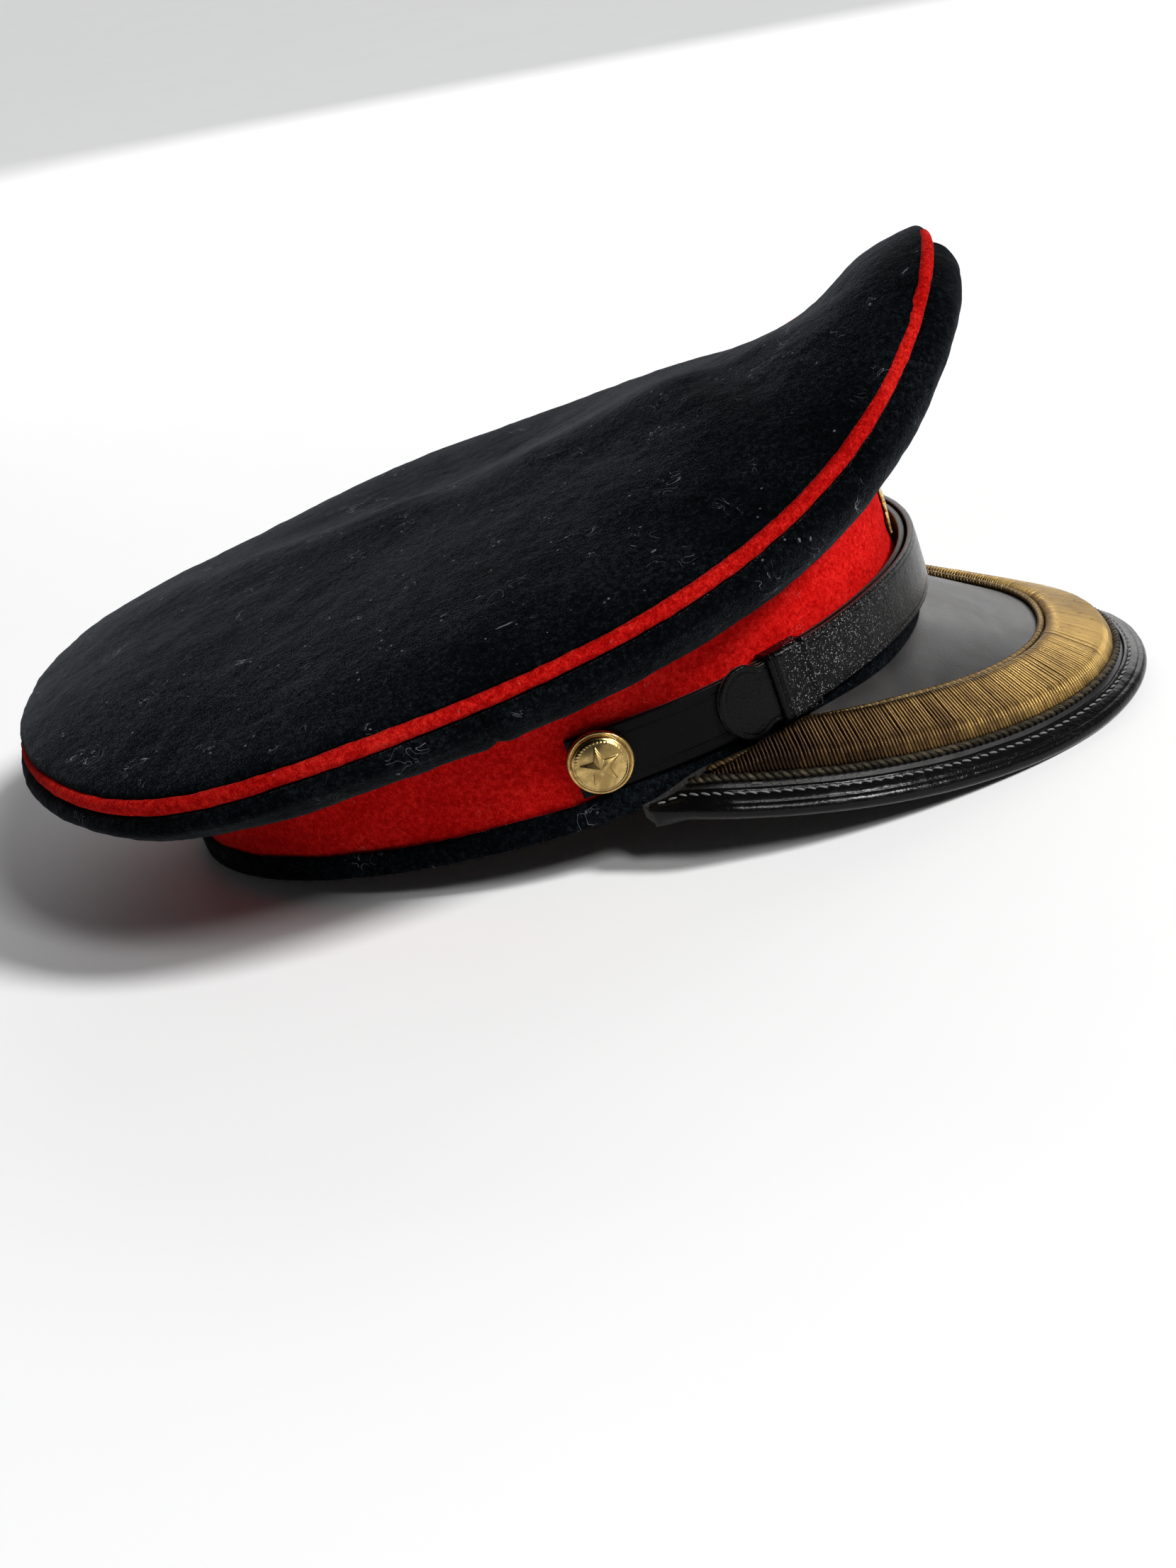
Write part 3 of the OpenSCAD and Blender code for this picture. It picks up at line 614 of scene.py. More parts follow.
def peak_leather():
    m = Mat("peak_satin_leather")
    grain = m.noise(1500, 3, 0.6)
    fine = m.voro(1900, "F1")
    smear = m.noise(26, 4, 0.62, 1.2, m.map((1.6, 0.6, 1)))
    scratch = m.lin(m.math("ABSOLUTE", m.math("SUBTRACT", m.noise(60, 2, 0.5, 0.5, m.map((3.0, 0.5, 1), (0, 0, 0.4))), 0.5)), 0.002, 0.007, 1.0, 0.0)
    scratch = m.math("MULTIPLY", scratch, m.lin(m.noise(45, 2, 0.5), 0.58, 0.66))
    rear = m.lin(m.sep(m.co, 0), 0.075, 0.04, 0.0, 1.0)
    craze = m.math("MULTIPLY", m.lin(m.voro(360, "DISTANCE_TO_EDGE"), 0.0, 0.06, 0.0, 1.0), rear)
    h = m.math("ADD", m.math("MULTIPLY", grain, 0.5), m.math("MULTIPLY", fine, -0.4))
    n = m.bump(h, 0.16, 0.0003)
    n = m.bump(craze, 0.5, 0.0003, n)
    m.set(Base_Color=m.mix(m.lin(smear, 0.35, 0.7), (0.017, 0.0165, 0.0162), (0.033, 0.031, 0.030)),
          Roughness=m.math("SUBTRACT", m.lin(smear, 0.3, 0.7, 0.36, 0.50), m.math("MULTIPLY", scratch, 0.12)),
          Specular_IOR_Level=0.34, Coat_Weight=0.06, Coat_Roughness=0.33, Normal=n, Coat_Normal=n)
    return m.done()


PEAK = peak_leather()


def underside():
    m = Mat("peak_lining_cloth")
    w = m.voro(620, "F1", vec=m.map((1, 1.4, 1), (0, 0, 0.6)))
    n = m.noise(900, 3, 0.6)
    b = m.noise(30, 3, 0.6)
    h = m.math("ADD", m.math("MULTIPLY", w, 0.7), m.math("MULTIPLY", n, 0.3))
    m.set(Base_Color=m.mix(m.lin(m.math("ADD", m.math("MULTIPLY", n, 0.6), m.math("MULTIPLY", b, 0.4)), 0.35, 0.65), (0.004, 0.010, 0.006), (0.012, 0.024, 0.014)),
          Roughness=0.55, Specular_IOR_Level=0.35, Normal=m.bump(h, 0.5, 0.0004))
    return m.done()


UNDER = underside()
# the last tuple of each gold wire paints it lighter towards the front and darker towards the rear: painted reflection
GOLD = wires("gold_laid_wire", (0.030, 0.016, 0.009), (0.13, 0.075, 0.030), (0.46, 0.30, 0.10), 0.27, (0.03, 0.13, 0.24))
# a dark brown sheet for under the wires: painted shade for the gaps between the wires
WIRE_GAP_SHADE = metal("padding_painted_shade", (0.008, 0.004, 0.002), (0.03, 0.016, 0.007), 0.6)
GIMP_G = wires("gold_gimp_cord", (0.03, 0.018, 0.008), (0.13, 0.082, 0.033), (0.36, 0.25, 0.11), 0.33, (0.02, 0.13, 0.15))
GIMP_D = wires("dark_gimp_cord", (0.010, 0.009, 0.007), (0.045, 0.038, 0.026), (0.16, 0.125, 0.075), 0.36)
GILT = metal("gilt_brass", (0.20, 0.12, 0.035), (0.62, 0.44, 0.17), 0.2, 300, 0.06, 0.65)
GILT_B = metal("gilt_badge", (0.40, 0.22, 0.05), (0.86, 0.62, 0.22), 0.24, 500, 0.15, 0.6)
BRASS = metal("back_brass", (0.22, 0.15, 0.06), (0.5, 0.38, 0.18), 0.36, 400, 0.15, 0.6)
STEEL = metal("spring_steel", (0.25, 0.25, 0.26), (0.55, 0.55, 0.56), 0.28, 400, 0.1, 0.4)


def thread(name, a, b):
    m = Mat(name)
    n = m.noise(3500, 2, 0.5, vec=m.map((1, 1, 0.4), (0.5, 0.3, 0.2)))
    m.set(Base_Color=m.mix(n, a, b), Roughness=0.72, Sheen_Weight=0.2, Normal=m.bump(n, 0.6, 0.0002))
    return m.done()


THREAD = thread("grey_thread", (0.07, 0.07, 0.068), (0.22, 0.22, 0.21))
THREAD_D = thread("dark_thread", (0.008, 0.008, 0.009), (0.03, 0.03, 0.032))
THREAD_T = thread("tan_thread", (0.22, 0.15, 0.09), (0.42, 0.31, 0.2))


def raw_edge():
    m = Mat("cut_leather_edge")
    n = m.noise(1500, 3, 0.6)
    m.set(Base_Color=m.mix(m.lin(n, 0.35, 0.65), (0.012, 0.0105, 0.010), (0.05, 0.04, 0.035)), Roughness=0.5, Normal=m.bump(n, 0.4, 0.0002))
    return m.done()


EDGE = raw_edge()


def sweat_leather():
    m = Mat("sweatband_leather")
    cell = m.voro(900, "F1", vec=m.map((1, 1, 1.3)))
    pore = m.voro(1500, "DISTANCE_TO_EDGE")
    n = m.noise(300, 3, 0.6)
    b = m.noise(22, 3, 0.6)
    h = m.math("ADD", m.math("MULTIPLY", cell, -0.5), m.math("MULTIPLY", pore, 0.8))
    m.set(Base_Color=m.ramp(m.math("ADD", m.math("MULTIPLY", n, 0.5), m.math("MULTIPLY", b, 0.5)), [(0.36, (0.075, 0.027, 0.012)), (0.52, (0.13, 0.05, 0.022)), (0.68, (0.19, 0.082, 0.038))]),
          Roughness=m.lin(b, 0.35, 0.65, 0.38, 0.58), Coat_Weight=0.15, Coat_Roughness=0.3, Normal=m.bump(h, 0.4, 0.0003))
    return m.done()


SWEAT = sweat_leather()


def satin(name, a, b):
    m = Mat(name)
    w = m.noise(2600, 2, 0.5, vec=m.map((1, 0.2, 1), (0, 0, 0.5)))
    w2 = m.noise(2600, 2, 0.5, vec=m.map((0.2, 1, 1), (0, 0, 0.5)))
    n = m.noise(30, 2, 0.5)
    h = m.math("ADD", w, m.math("MULTIPLY", w2, 0.5))
    m.set(Base_Color=m.mix(m.lin(m.math("ADD", m.math("MULTIPLY", h, 0.5), m.math("MULTIPLY", n, 0.3)), 0.3, 0.75), a, b),
          Roughness=0.38, Specular_IOR_Level=0.45, Sheen_Weight=0.35, Sheen_Roughness=0.3, Sheen_Tint=(1.0, 0.7, 0.7),
          Normal=m.bump(h, 0.35, 0.0002))
    return m.done()


SATIN = satin("crimson_satin", (0.055, 0.006, 0.010), (0.13, 0.016, 0.024))
RIBBON = satin("black_ribbon", (0.006, 0.006, 0.007), (0.022, 0.022, 0.025))


def board(name, a, b):
    m = Mat(name)
    n = m.noise(420, 4, 0.65)
    w = m.noise(1500, 2, 0.5, vec=m.map((1, 1, 0.2)))
    m.set(Base_Color=m.mix(m.lin(n, 0.3, 0.7), a, b), Roughness=0.85, Normal=m.bump(m.math("ADD", n, w), 0.5, 0.0003))
    return m.done()


BUCKRAM = board("buckram", (0.36, 0.29, 0.2), (0.55, 0.47, 0.34))
BOARD = board("fibre_board", (0.012, 0.010, 0.009), (0.035, 0.028, 0.022))


def clear():
    m = Mat("clear_sheet")
    n = m.noise(60, 2, 0.5)
    m.set(Base_Color=(0.93, 0.93, 0.9), Roughness=m.lin(n, 0.3, 0.7, 0.08, 0.2), Transmission_Weight=0.92, IOR=1.3, Normal=m.bump(n, 0.2, 0.0008))
    return m.done()


CLEAR = clear()


# ---------------------------------------------------------------- crown
def crown_relief(P):
    """Soft shapes in the stretched top: the crest along its length, the dip beyond
    it, and the slack folds where the front rises."""
    x, y = P[..., 0], P[..., 1]
    z = 2.6 * np.exp(-((y - 2 + 0.16 * (x - 10)) / 17) ** 2) * sm((x + 128) / 60) * sm((100 - x) / 40)
    z -= 4.2 * np.exp(-((y - 46 + 0.10 * x) / 30) ** 2) * np.exp(-((x + 8) / 70) ** 2)
    z -= 2.3 * np.exp(-((x - 99) / 11) ** 2) * np.exp(-((y - 14) / 32) ** 2)
    # folds at the foot of the raised front, running from near the middle towards the right
    u = (x - 74) * 0.93 + (y + 12) * 0.36
    v = -(x - 74) * 0.36 + (y + 12) * 0.93
    z -= 1.7 * np.exp(-(u / 8.5) ** 2) * np.exp(-(v / 30) ** 2)
    z += 1.2 * np.exp(-((u - 19) / 11) ** 2) * np.exp(-((v + 6) / 30) ** 2)
    z += 0.9 * np.exp(-((u + 16) / 9) ** 2) * np.exp(-(v / 34) ** 2)
    u = (x - 40) * 0.86 + (y + 30) * 0.50
    v = -(x - 40) * 0.50 + (y + 30) * 0.86
    z -= 0.7 * np.exp(-(u / 7) ** 2) * np.exp(-(v / 24) ** 2)
    u = (x + 78) * 0.80 - (y - 20) * 0.60
    v = (x + 78) * 0.60 + (y - 20) * 0.80
    z -= 0.8 * np.exp(-(u / 9) ** 2) * np.exp(-(v / 26) ** 2)
    return z


def calm(P, r, reach=0.2):
    """Ease the middle of the crown into one smooth dish."""
    P = P.copy()
    near = (r > 0.1) & (r < 0.3)
    X, Y, Z = (P[near][..., i].ravel() / 30.0 for i in range(3))
    A = np.stack([X * 0 + 1, X, Y, X * X, X * Y, Y * Y], -1)
    c = np.linalg.lstsq(A, Z, rcond=None)[0]
    x, y = P[..., 0] / 30.0, P[..., 1] / 30.0
    z = 30.0 * (c[0] + c[1] * x + c[2] * y + c[3] * x * x + c[4] * x * y + c[5] * y * y)
    w = (1 - sm(r / reach))[:, None]
    P[..., 2] = P[..., 2] * (1 - w) + z * w
    return P


def crown_top():
    nr, nt = 92, 640
    u = np.linspace(0, 1, nr + 1)[1:]
    r = (1 - (1 - u) ** 1.55)[:, None]
    t = (np.arange(nt) * 360 / nt)[None, :]
    R = np.broadcast_to(r, (nr, nt))
    T = np.broadcast_to(t, (nr, nt))
    P = v3(top_xy(R, T, 2.3), top_z(R, T))
    hold = 1 - R ** 14
    P[..., 2] += crown_relief(P) * (1 - R ** 5)
    # the cloth stands up over the piping and a little beyond it
    e0 = (1 - R) * 128
    w180 = 180 - abs(wrap(T))
    ov = 3.0 + 2.6 * np.exp(-(w180 / 42) ** 2) + 2.0 * np.exp(-(wrap(T) / 38) ** 2)
    o2 = ring(T) - np.array([-3.0, 0])
    o2 /= np.linalg.norm(o2, axis=-1)[..., None]
    P[..., :2] += o2 * (ov * (e0 / 2.6) * np.exp(1 - e0 / 2.6))[..., None]
    P[..., 2] += 0.9 * np.exp(-(e0 / 2.5))
    P = calm(P, r[:, 0])
    # the padded edge: soft lumps, and small gathers at the seam
    edge = (1 - R) * 120
    N = normals(P, False, True)
    N *= np.sign(N[..., 2:3].mean())
    N = unit(N + np.array([0, 0, 1.0]) * (4 * (1 - sm(R / 0.07)))[..., None])
    g = vnoise(v3(v2(T * 0.62, edge * 0.15), 0 * T), 3.2, 5)
    d = 0.30 * np.exp(-(edge / 5.0)) * g + 0.22 * vnoise(P, 9, 1) * hold + 0.45 * vnoise(P, 34, 2) * hold + 0.10 * vnoise(P, 3.2, 3) + 0.05 * vnoise(P, 1.7, 4)
    P = P + N * d[..., None]
    r2 = np.array([0.06, 0.2, 0.34, 0.48, 0.6, 0.7, 0.78, 0.85, 0.9, 0.94, 0.97, 1.0])[:, None]
    R2 = np.broadcast_to(r2, (len(r2), nt))
    T2 = np.broadcast_to(t, (len(r2), nt))
    Q = v3(top_xy(R2, T2, 2.3 + 1.2), top_z(R2, T2) - 2.0)
    Q[..., 2] += crown_relief(Q) * (1 - R2 ** 5)
    Q = calm(Q, r2[:, 0])
    k = len(r2)
    V = np.concatenate([P.reshape(-1, 3), Q.reshape(-1, 3), [[-3, 0, P[0, :, 2].mean()]], [[-3, 0, Q[0, :, 2].mean()]]])
    o = nr * nt
    j = np.arange(nt)
    jn = (j + 1) % nt
    c0, c1 = len(V) - 2, len(V) - 1
    F4 = [quads(nr, nt, False, True), quads(k, nt, False, True, o)[:, ::-1],
          np.stack([(nr - 1) * nt + j, (nr - 1) * nt + jn, o + (k - 1) * nt + jn, o + (k - 1) * nt + j], -1)]
    F3 = [np.stack([j * 0 + c0, jn, j], -1), np.stack([j * 0 + c1, o + j, o + jn], -1)]
    # same winding for all parts
    F4[2] = F4[2][:, ::-1]
    b = Build()
    b.add(V, F4 + F3)
    return b.make("crown_top_cloth", [NAVY], stands=["crown_top"]), P


def quarter(name, t1, t2, node):
    n, m = 170, 46
    t = np.linspace(t1, t2, n)
    s = 1 - (1 - np.linspace(0, 1, m)) ** 1.1
    T, S = np.meshgrid(t, s, indexing="ij")
    d, z = side_curve(T, S)
    P = side_pt(T, d, z)
    N = normals(P)
    out = unit(v3(ring(T) - base(T, CLOTH_O), 0 * T))
    N *= np.sign((N * out).sum(-1).mean())
    rad = np.linalg.norm(P[..., :2], axis=-1)
    e = np.minimum(T - t1, t2 - T) * np.pi / 180 * rad
    seam = -0.75 * np.exp(-(e / 0.9) ** 2) + 0.28 * np.exp(-((e - 3.2) / 1.6) ** 2)
    along = v3(v2(T * 1.9, S * 3), 0 * T)
    body = sm(S / 0.1) * sm((1 - S) / 0.08)
    rear = np.exp(-((180 - abs(wrap(T))) / 48) ** 2)
    puff = (1.3 + 1.0 * rear - 1.0 * np.exp(-(wrap(T) / 45) ** 2)) * np.exp(-((S - 0.10) / 0.10) ** 2) + 1.6 * rear * np.exp(-((S - 0.36) / 0.24) ** 2)
    puck = 0.28 * vnoise(along, 4.2, 11) * (np.exp(-S / 0.10) + np.exp(-(1 - S) / 0.08))
    front = np.exp(-(wrap(T) / 50) ** 2)
    D = seam + puff + puck + body * (0.42 * vnoise(P, 26, 12) + (0.2 + 0.12 * front) * vnoise(P, 7.5, 13)) + 0.11 * vnoise(P, 2.8, 14) + 0.05 * vnoise(P, 1.5, 15)
    D += -0.5 * (1 - sm(S / 0.05)) - 0.6 * (1 - sm((1 - S) / 0.05))
    P = P + N * D[..., None]
    s2 = np.linspace(1, 0, 14)
    T2, S2 = np.meshgrid(t, s2, indexing="ij")
    d2, z2 = side_curve(T2, S2, 2.0)
    Q = side_pt(T2, d2, z2)
    b = Build()
    b.loft(np.concatenate([P, Q], 1), closed=False)
    return b.make(name, [NAVY], stands=[node]), P


def crown_piping():
    n, m = 1100, 18
    t = np.arange(n) * 360 / n
    a = np.arange(m) * 2 * np.pi / m
    T, A = np.meshgrid(t, a, indexing="ij")
    L, z = side_len(T), ring_h(T)
    rr = 1.95 + 0.08 * np.cos(2 * A)
    z = z - 1.1 * np.exp(-((wrap(T) - 8) / 15) ** 2)
    P = side_pt(T, L - 0.1 + rr * np.sin(A), z + rr * np.cos(A))
    C = side_pt(T, L, z)
    D = 0.13 * vnoise(P, 3.4, 21) + 0.07 * vnoise(P, 1.3, 22) + 0.14 * vnoise(P, 16, 23)
    P = P + unit(P - C) * D[..., None]
    b = Build()
    b.loft(P)
    return b.make("crown_piping_cord", [PIPE], stands=["crown_piping"])


CROWN, P_TOP = crown_top()
QUARTERS = [quarter("side_cloth_front_right", -90, -0.08, "quarter_front_right"),
            quarter("side_cloth_front_left", 0.08, 90, "quarter_front_left"),
            quarter("side_cloth_rear_right", -180, -90.08, "quarter_rear_right"),
            quarter("side_cloth_rear_left", 90.08, 179.92, "quarter_rear_left")]
crown_piping()


# ---------------------------------------------------------------- band
def band_cloth():
    n, m = 760, 44
    t = np.arange(n) * 360 / n
    z = np.linspace(1, BAND_H, m)
    T, Z = np.meshgrid(t, z, indexing="ij")
    W = wrap(T)
    P = v3(base(T, CLOTH_O), Z)
    N = unit(v3(P[..., :2] * np.array([1, 1.5]), 0 * Z))
    f = np.exp(-(W / 13) ** 2)
    D = 0.13 * vnoise(P, 5, 31) + 0.08 * vnoise(P, 2.1, 32) + 0.15 * vnoise(P, 40, 33)
    D += -0.7 * f * np.exp(-((Z - 24) / 4.5) ** 2) + 0.55 * np.exp(-(W / 18) ** 2) * np.exp(-((Z - 15.5) / 5) ** 2)
    D += -0.5 * np.exp(-((180 - abs(W)) * 1.8 / 0.8) ** 2) - 0.5 * sm((Z - 38.3) / 1.2)
    P = P + N * D[..., None]
    z2 = np.linspace(BAND_H, 1, 8)
    T2, Z2 = np.meshgrid(t, z2, indexing="ij")
    Q = v3(base(T2, CLOTH_I), Z2)
    b = Build()
    b.loft(np.concatenate([P, Q], 1))
    return b.make("band_scarlet_cloth", [RED], stands=["band_cloth"])


def welt():
    n = 900
    t = np.arange(n) * 360 / n
    prof = [(0.25, 0.0), (0.05, 0.5), (0.0, 1.5), (0.0, 2.8), (0.0, 4.1), (0.02, 5.2), (0.12, 5.9), (0.38, 6.4), (0.8, 6.7), (1.25, 6.55), (1.6, 6.1), (1.75, 5.5),
            (WELT_T, 0.8), (3.2, 0.8), (STIFF_I, 0.8), (STIFF_I, 0.3), (4.4, 0.02), (3.0, 0.0), (1.6, 0.0)]
    T = np.broadcast_to(t[:, None], (n, len(prof)))
    off = np.broadcast_to(np.array([p[0] for p in prof])[None], T.shape)
    z = np.broadcast_to(np.array([p[1] for p in prof])[None], T.shape)
    lip = np.zeros(len(prof))
    lip[6:11] = (0.0, 0.0, 0.2, 0.7, 0.9)
    z = z + lip[None] * sm((88 - abs(wrap(T))) / 10)
    wave = 0.28 * vnoise(v3(v2(T * 1.8, 0 * T), 0 * T), 14, 41) * sm(z / 4)
    P = v3(base(T, off), z + wave)
    C = v3(base(T, 0.9), 3 + 0 * z)
    D = 0.12 * vnoise(P, 3.0, 42) + 0.06 * vnoise(P, 1.4, 43)
    P = P + unit(P - C) * (D * (off < 1.7))[..., None]
    P[..., 2] = np.maximum(P[..., 2], 0.0)
    b = Build()
    b.loft(P)
    return b.make("bottom_welt_cloth", [NAVY], stands=["bottom_welt"])


BAND = band_cloth()
welt()


def sweatband():
    n = 620
    t = np.arange(n) * 360 / n
    prof = [(SWEAT_O, 0.9), (SWEAT_O, 12.0), (SWEAT_O - 0.1, 24.0), (SWEAT_O, 36.4), (SWEAT_O + 0.15, 37.2), (SWEAT_O + 0.5, 37.5), (SWEAT_I - 0.15, 37.2), (SWEAT_I, 36.4),
            (SWEAT_I + 0.02, 34.6), (SWEAT_I - 0.16, 34.2), (SWEAT_I - 0.16, 33.9), (SWEAT_I + 0.02, 33.5), (SWEAT_I + 0.08, 28), (SWEAT_I + 0.1, 20), (SWEAT_I + 0.05, 12),
            (SWEAT_I, 7.2), (SWEAT_I - 0.2, 6.8), (SWEAT_I - 0.2, 6.5), (SWEAT_I, 6.1), (SWEAT_I + 0.05, 3.0), (SWEAT_I - 0.05, 1.2), (SWEAT_I - 0.4, 0.6), (SWEAT_O + 0.3, 0.55)]
    T = np.broadcast_to(t[:, None], (n, len(prof)))
    off = np.broadcast_to(np.array([p[0] for p in prof])[None], T.shape)
    z = np.broadcast_to(np.array([p[1] for p in prof])[None], T.shape)
    k = 0.35 * vnoise(v3(v2(T * 1.6, z), 0 * T), 24, 51) + 0.2 * vnoise(v3(v2(T * 1.6, z), 0 * T), 7, 52)
    P = v3(base(T, off + k * sm(z / 8)), z)
    b = Build()
    b.loft(P)
    b.make("sweatband_leather_strip", [SWEAT], stands=["sweatband"])
    s = Build()
    for i in range(150):
        a = i * 2.4
        p = v3(base(np.array(a), SWEAT_I + 0.05), np.array(4.6))
        q = v3(base(np.array(a + 1.5), SWEAT_I + 0.05), np.array(4.6 + (0.9 if i % 2 else -0.9)))
        nrm = -unit(np.array([p[0], p[1] * 1.5, 0.0]))
        stitch(s, p, q, nrm, 0.26)
    s.make("sweatband_stitching", [THREAD_T])


sweatband()


def bow():
    """Flat ribbon bow at the back of the sweatband."""
    x = -(104 - SWEAT_I) + 0.85
    b = Build()

    def put(Y, Z, X):
        return np.stack([x + X, Y, 9 + Z], -1)
    for s in (-1, 1):
        u = np.linspace(0, 1, 30)
        w = 1.0 + 2.5 * np.sin(np.pi * np.clip(u, 0, 1) * 0.62)
        for lay in (0.25, 0.85):
            cx = s * (0.6 + 7.3 * u)
            up = (0.25 * np.sin(np.pi * u)) if lay > 0.5 else 0 * u
            loops = np.stack([put(cx, -w, lay + up), put(cx, 0 * w, lay + up + 0.1), put(cx, w, lay + up), put(cx, w, lay + up + 0.22), put(cx, 0 * w, lay + up + 0.34), put(cx, -w, lay + up + 0.22)], 1)
            b.loft(loops, closed=False)
        u = np.linspace(0, 1, 24)
        cy = s * (0.5 + 4.6 * u)
        cz = -0.6 - 4.2 * u
        w = 1.1 + 0.5 * u
        X = 0.12 + 0.25 * np.sin(3 * u) * u
        loops = np.stack([put(cy - s * w * 0.3, cz - w * 0.5, X), put(cy + s * w * 0.5, cz + w * 0.5, X), put(cy + s * w * 0.5, cz + w * 0.5, X + 0.24), put(cy - s * w * 0.3, cz - w * 0.5, X + 0.24)], 1)
        b.loft(loops, closed=False)
    a = np.linspace(0, 2 * np.pi, 25)[:-1]
    u = np.linspace(0, np.pi / 2, 8)
    K = np.stack([put(1.35 * np.cos(a) * c + 0 * a, 1.9 * np.sin(a) * c, 0.35 + 1.4 * h + 0 * a) for c, h in [(0.9, -0.2)] + [(math.cos(q), math.sin(q)) for q in u[:-1]] + [(0.08, 1.0)]], 0)
    b.loft(K, closed=False, caps="fan")
    b.make("sweatband_ribbon_bow", [RIBBON], stands=["sweatband_bow"])


bow()


# ---------------------------------------------------------------- lining
def lining_pt(k, T, o):
    """k runs 0..7 like the rings of the CAD lining."""
    r = np.interp(k, [0, 1, 2, 3, 4], [0.25, 0.5, 0.7, 0.8, 0.86])
    top = v3(top_xy(r, T, 4 + o), top_z(r, T) - 2.0 - 3.5 - o)
    q = base(T, SWEAT_O + 0.3 + o)
    e = top_xy(0.86 + 0 * T, T, 4 + o)
    z1 = top_z(0.86 + 0 * T, T) - 5.5 - o
    w = np.clip((k - 4) / 3, 0, 1)
    side = v3(q + (e - q) * (1 - w)[..., None], (BAND_H + 4) * w + z1 * (1 - w))
    return np.where((k < 4)[..., None], top, side)


def lining():
    n = 720
    t = np.arange(n) * 360 / n
    k = np.concatenate([np.linspace(-1, 4, 26)[:-1], np.linspace(4, 6.9, 26)])
    K, T = np.meshgrid(k, t, indexing="ij")
    r = np.where(K < 0, 0.25 * (K + 1.02), 0)
    P = lining_pt(np.maximum(K, 0), T, 0.8)
    C = v3(top_xy(r, T, 4.8), top_z(r, T) - 6.3)
    P = np.where((K < 0)[..., None], C, P)
    d = np.cumsum(0.9 + 0.25 * vnoise(v3(v2(t, 0 * t), 0 * t), 7, 61))
    ph = d / d[-1] * 2 * np.pi * 64
    fold = np.cos(ph)[None, :] * sm((K - 3.2) / 2.2)
    N = normals(P, False, True)
    N *= -np.sign(N[:20, :, 2].mean())
    amp = 0.9 * fold + 0.5 * vnoise(P, 16, 62) * sm((K + 1) / 2)
    P = P + N * amp[..., None] * sm((7.0 - K) / 0.5)[..., None]
    end = v3(base(t, SWEAT_O + 0.55), 0 * t + BAND_H - 1.0)
    P = np.concatenate([P, end[None]], 0)
    Q = P.copy()
    Q = Q - np.concatenate([N, N[-1:]], 0) * 0.55
    Q[-1] = v3(base(t, SWEAT_O + 0.30), 0 * t + BAND_H - 1.0)
    a = len(P)
    V = np.concatenate([P.reshape(-1, 3), Q.reshape(-1, 3), [P[0].mean(0)], [Q[0].mean(0)]])
    j = np.arange(n)
    jn = (j + 1) % n
    o = a * n
    c0, c1 = len(V) - 2, len(V) - 1
    F = [quads(a, n, False, True), quads(a, n, False, True, o)[:, ::-1],
         np.stack([(a - 1) * n + jn, (a - 1) * n + j, o + (a - 1) * n + j, o + (a - 1) * n + jn], -1),
         np.stack([j * 0 + c0, jn, j], -1), np.stack([j * 0 + c1, o + j, o + jn], -1)]
    b = Build()
    b.add(V, F)
    ob = b.make("crown_lining_satin", [SATIN], stands=["crown_lining"])
    area = float(np.linalg.norm(np.cross(*slopes(P, False, True)), axis=-1).sum()) / 2
    return ob


LINING = lining()


def shield():
    n = 160
    t = np.arange(n) * 360 / n
    r = np.array([0.02, 0.15, 0.3, 0.45, 0.6, 0.75, 0.88, 0.96, 1.0])[:, None] * 0.4
    R, T = np.broadcast_arrays(r, t[None])
    b = Build()
    zz = top_z(R, T) - 2.0
    P = v3(top_xy(R, T, 4.0), zz - 7.1)
    Q = v3(top_xy(R, T, 4.0), zz - 7.5)
    loops = np.concatenate([P, Q[::-1]], 0).transpose(1, 0, 2)
    b.loft(loops)
    j = np.arange(n)
    m = loops.shape[1]
    V = loops.reshape(-1, 3)
    b2 = Build()
    F = [quads(n, m, True, True)]
    V = np.concatenate([V, [P[0].mean(0)], [Q[0].mean(0)]])
    c0, c1 = len(V) - 2, len(V) - 1
    F[0] = F[0][(F[0] % m != m - 1).any(1)]
    keep = ~(((F[0][:, 0] % m) == m - 1) & ((F[0][:, 1] % m) == 0))
    F = [F[0][keep], np.stack([j * 0 + c0, j * m, ((j + 1) % n) * m], -1), np.stack([j * 0 + c1, ((j + 1) % n) * m + m - 1, j * m + m - 1], -1)]
    b2.add(V, F)
    b2.make("sweat_shield_sheet", [CLEAR], stands=["sweat_shield"])
    tape = Build()
    E = v3(top_xy(0.4 + 0 * t, t, 4.0), top_z(0.4 + 0 * t, t) - 9.3)
    tape.loft(tube(E, 1.1, 10, (0, 0, 1), 0.45, True))
    tape.make("sweat_shield_tape", [RIBBON])


shield()


# ---------------------------------------------------------------- peak
def peak_sheet(name, w_top, w_bot, mat, node, n=320, m=44, rough=0.0, seed=71):
    t = np.linspace(-PK_END, PK_END, n)
    q = 0.5 - 0.5 * np.cos(np.linspace(0, np.pi, m))
    q = 0.35 * np.linspace(0, 1, m) + 0.65 * q
    T, Q = np.meshgrid(t, q, indexing="ij")
    f = base(T * 78 / PK_END, -0.15)
    top, bot = [], []
    for w, out in ((w_top, top), (w_bot, bot)):
        o = pk_in(T, (1.5 - w * pk_sin(T)) * pk_nar(T))
        p = f + (o - f) * Q[..., None]
        out.append(v3(p, pk_z(p) + w * pk_sec(p)))
    top, bot = top[0], bot[0]
    D = rough * (vnoise(top, 12, seed) + 0.5 * vnoise(top, 4, seed + 1)) * sm(Q / 0.1) * sm((1 - Q) / 0.1)
    top[..., 2] += D
    bot[..., 2] -= D * 0.6
    b = Build()
    st = np.concatenate([v3(v2(T, Q), 0 * T)] * 2, 1)
    b.loft(np.concatenate([top, bot[:, ::-1]], 1), closed=False, st=st)
    return b.make(name, [mat], stands=[node])


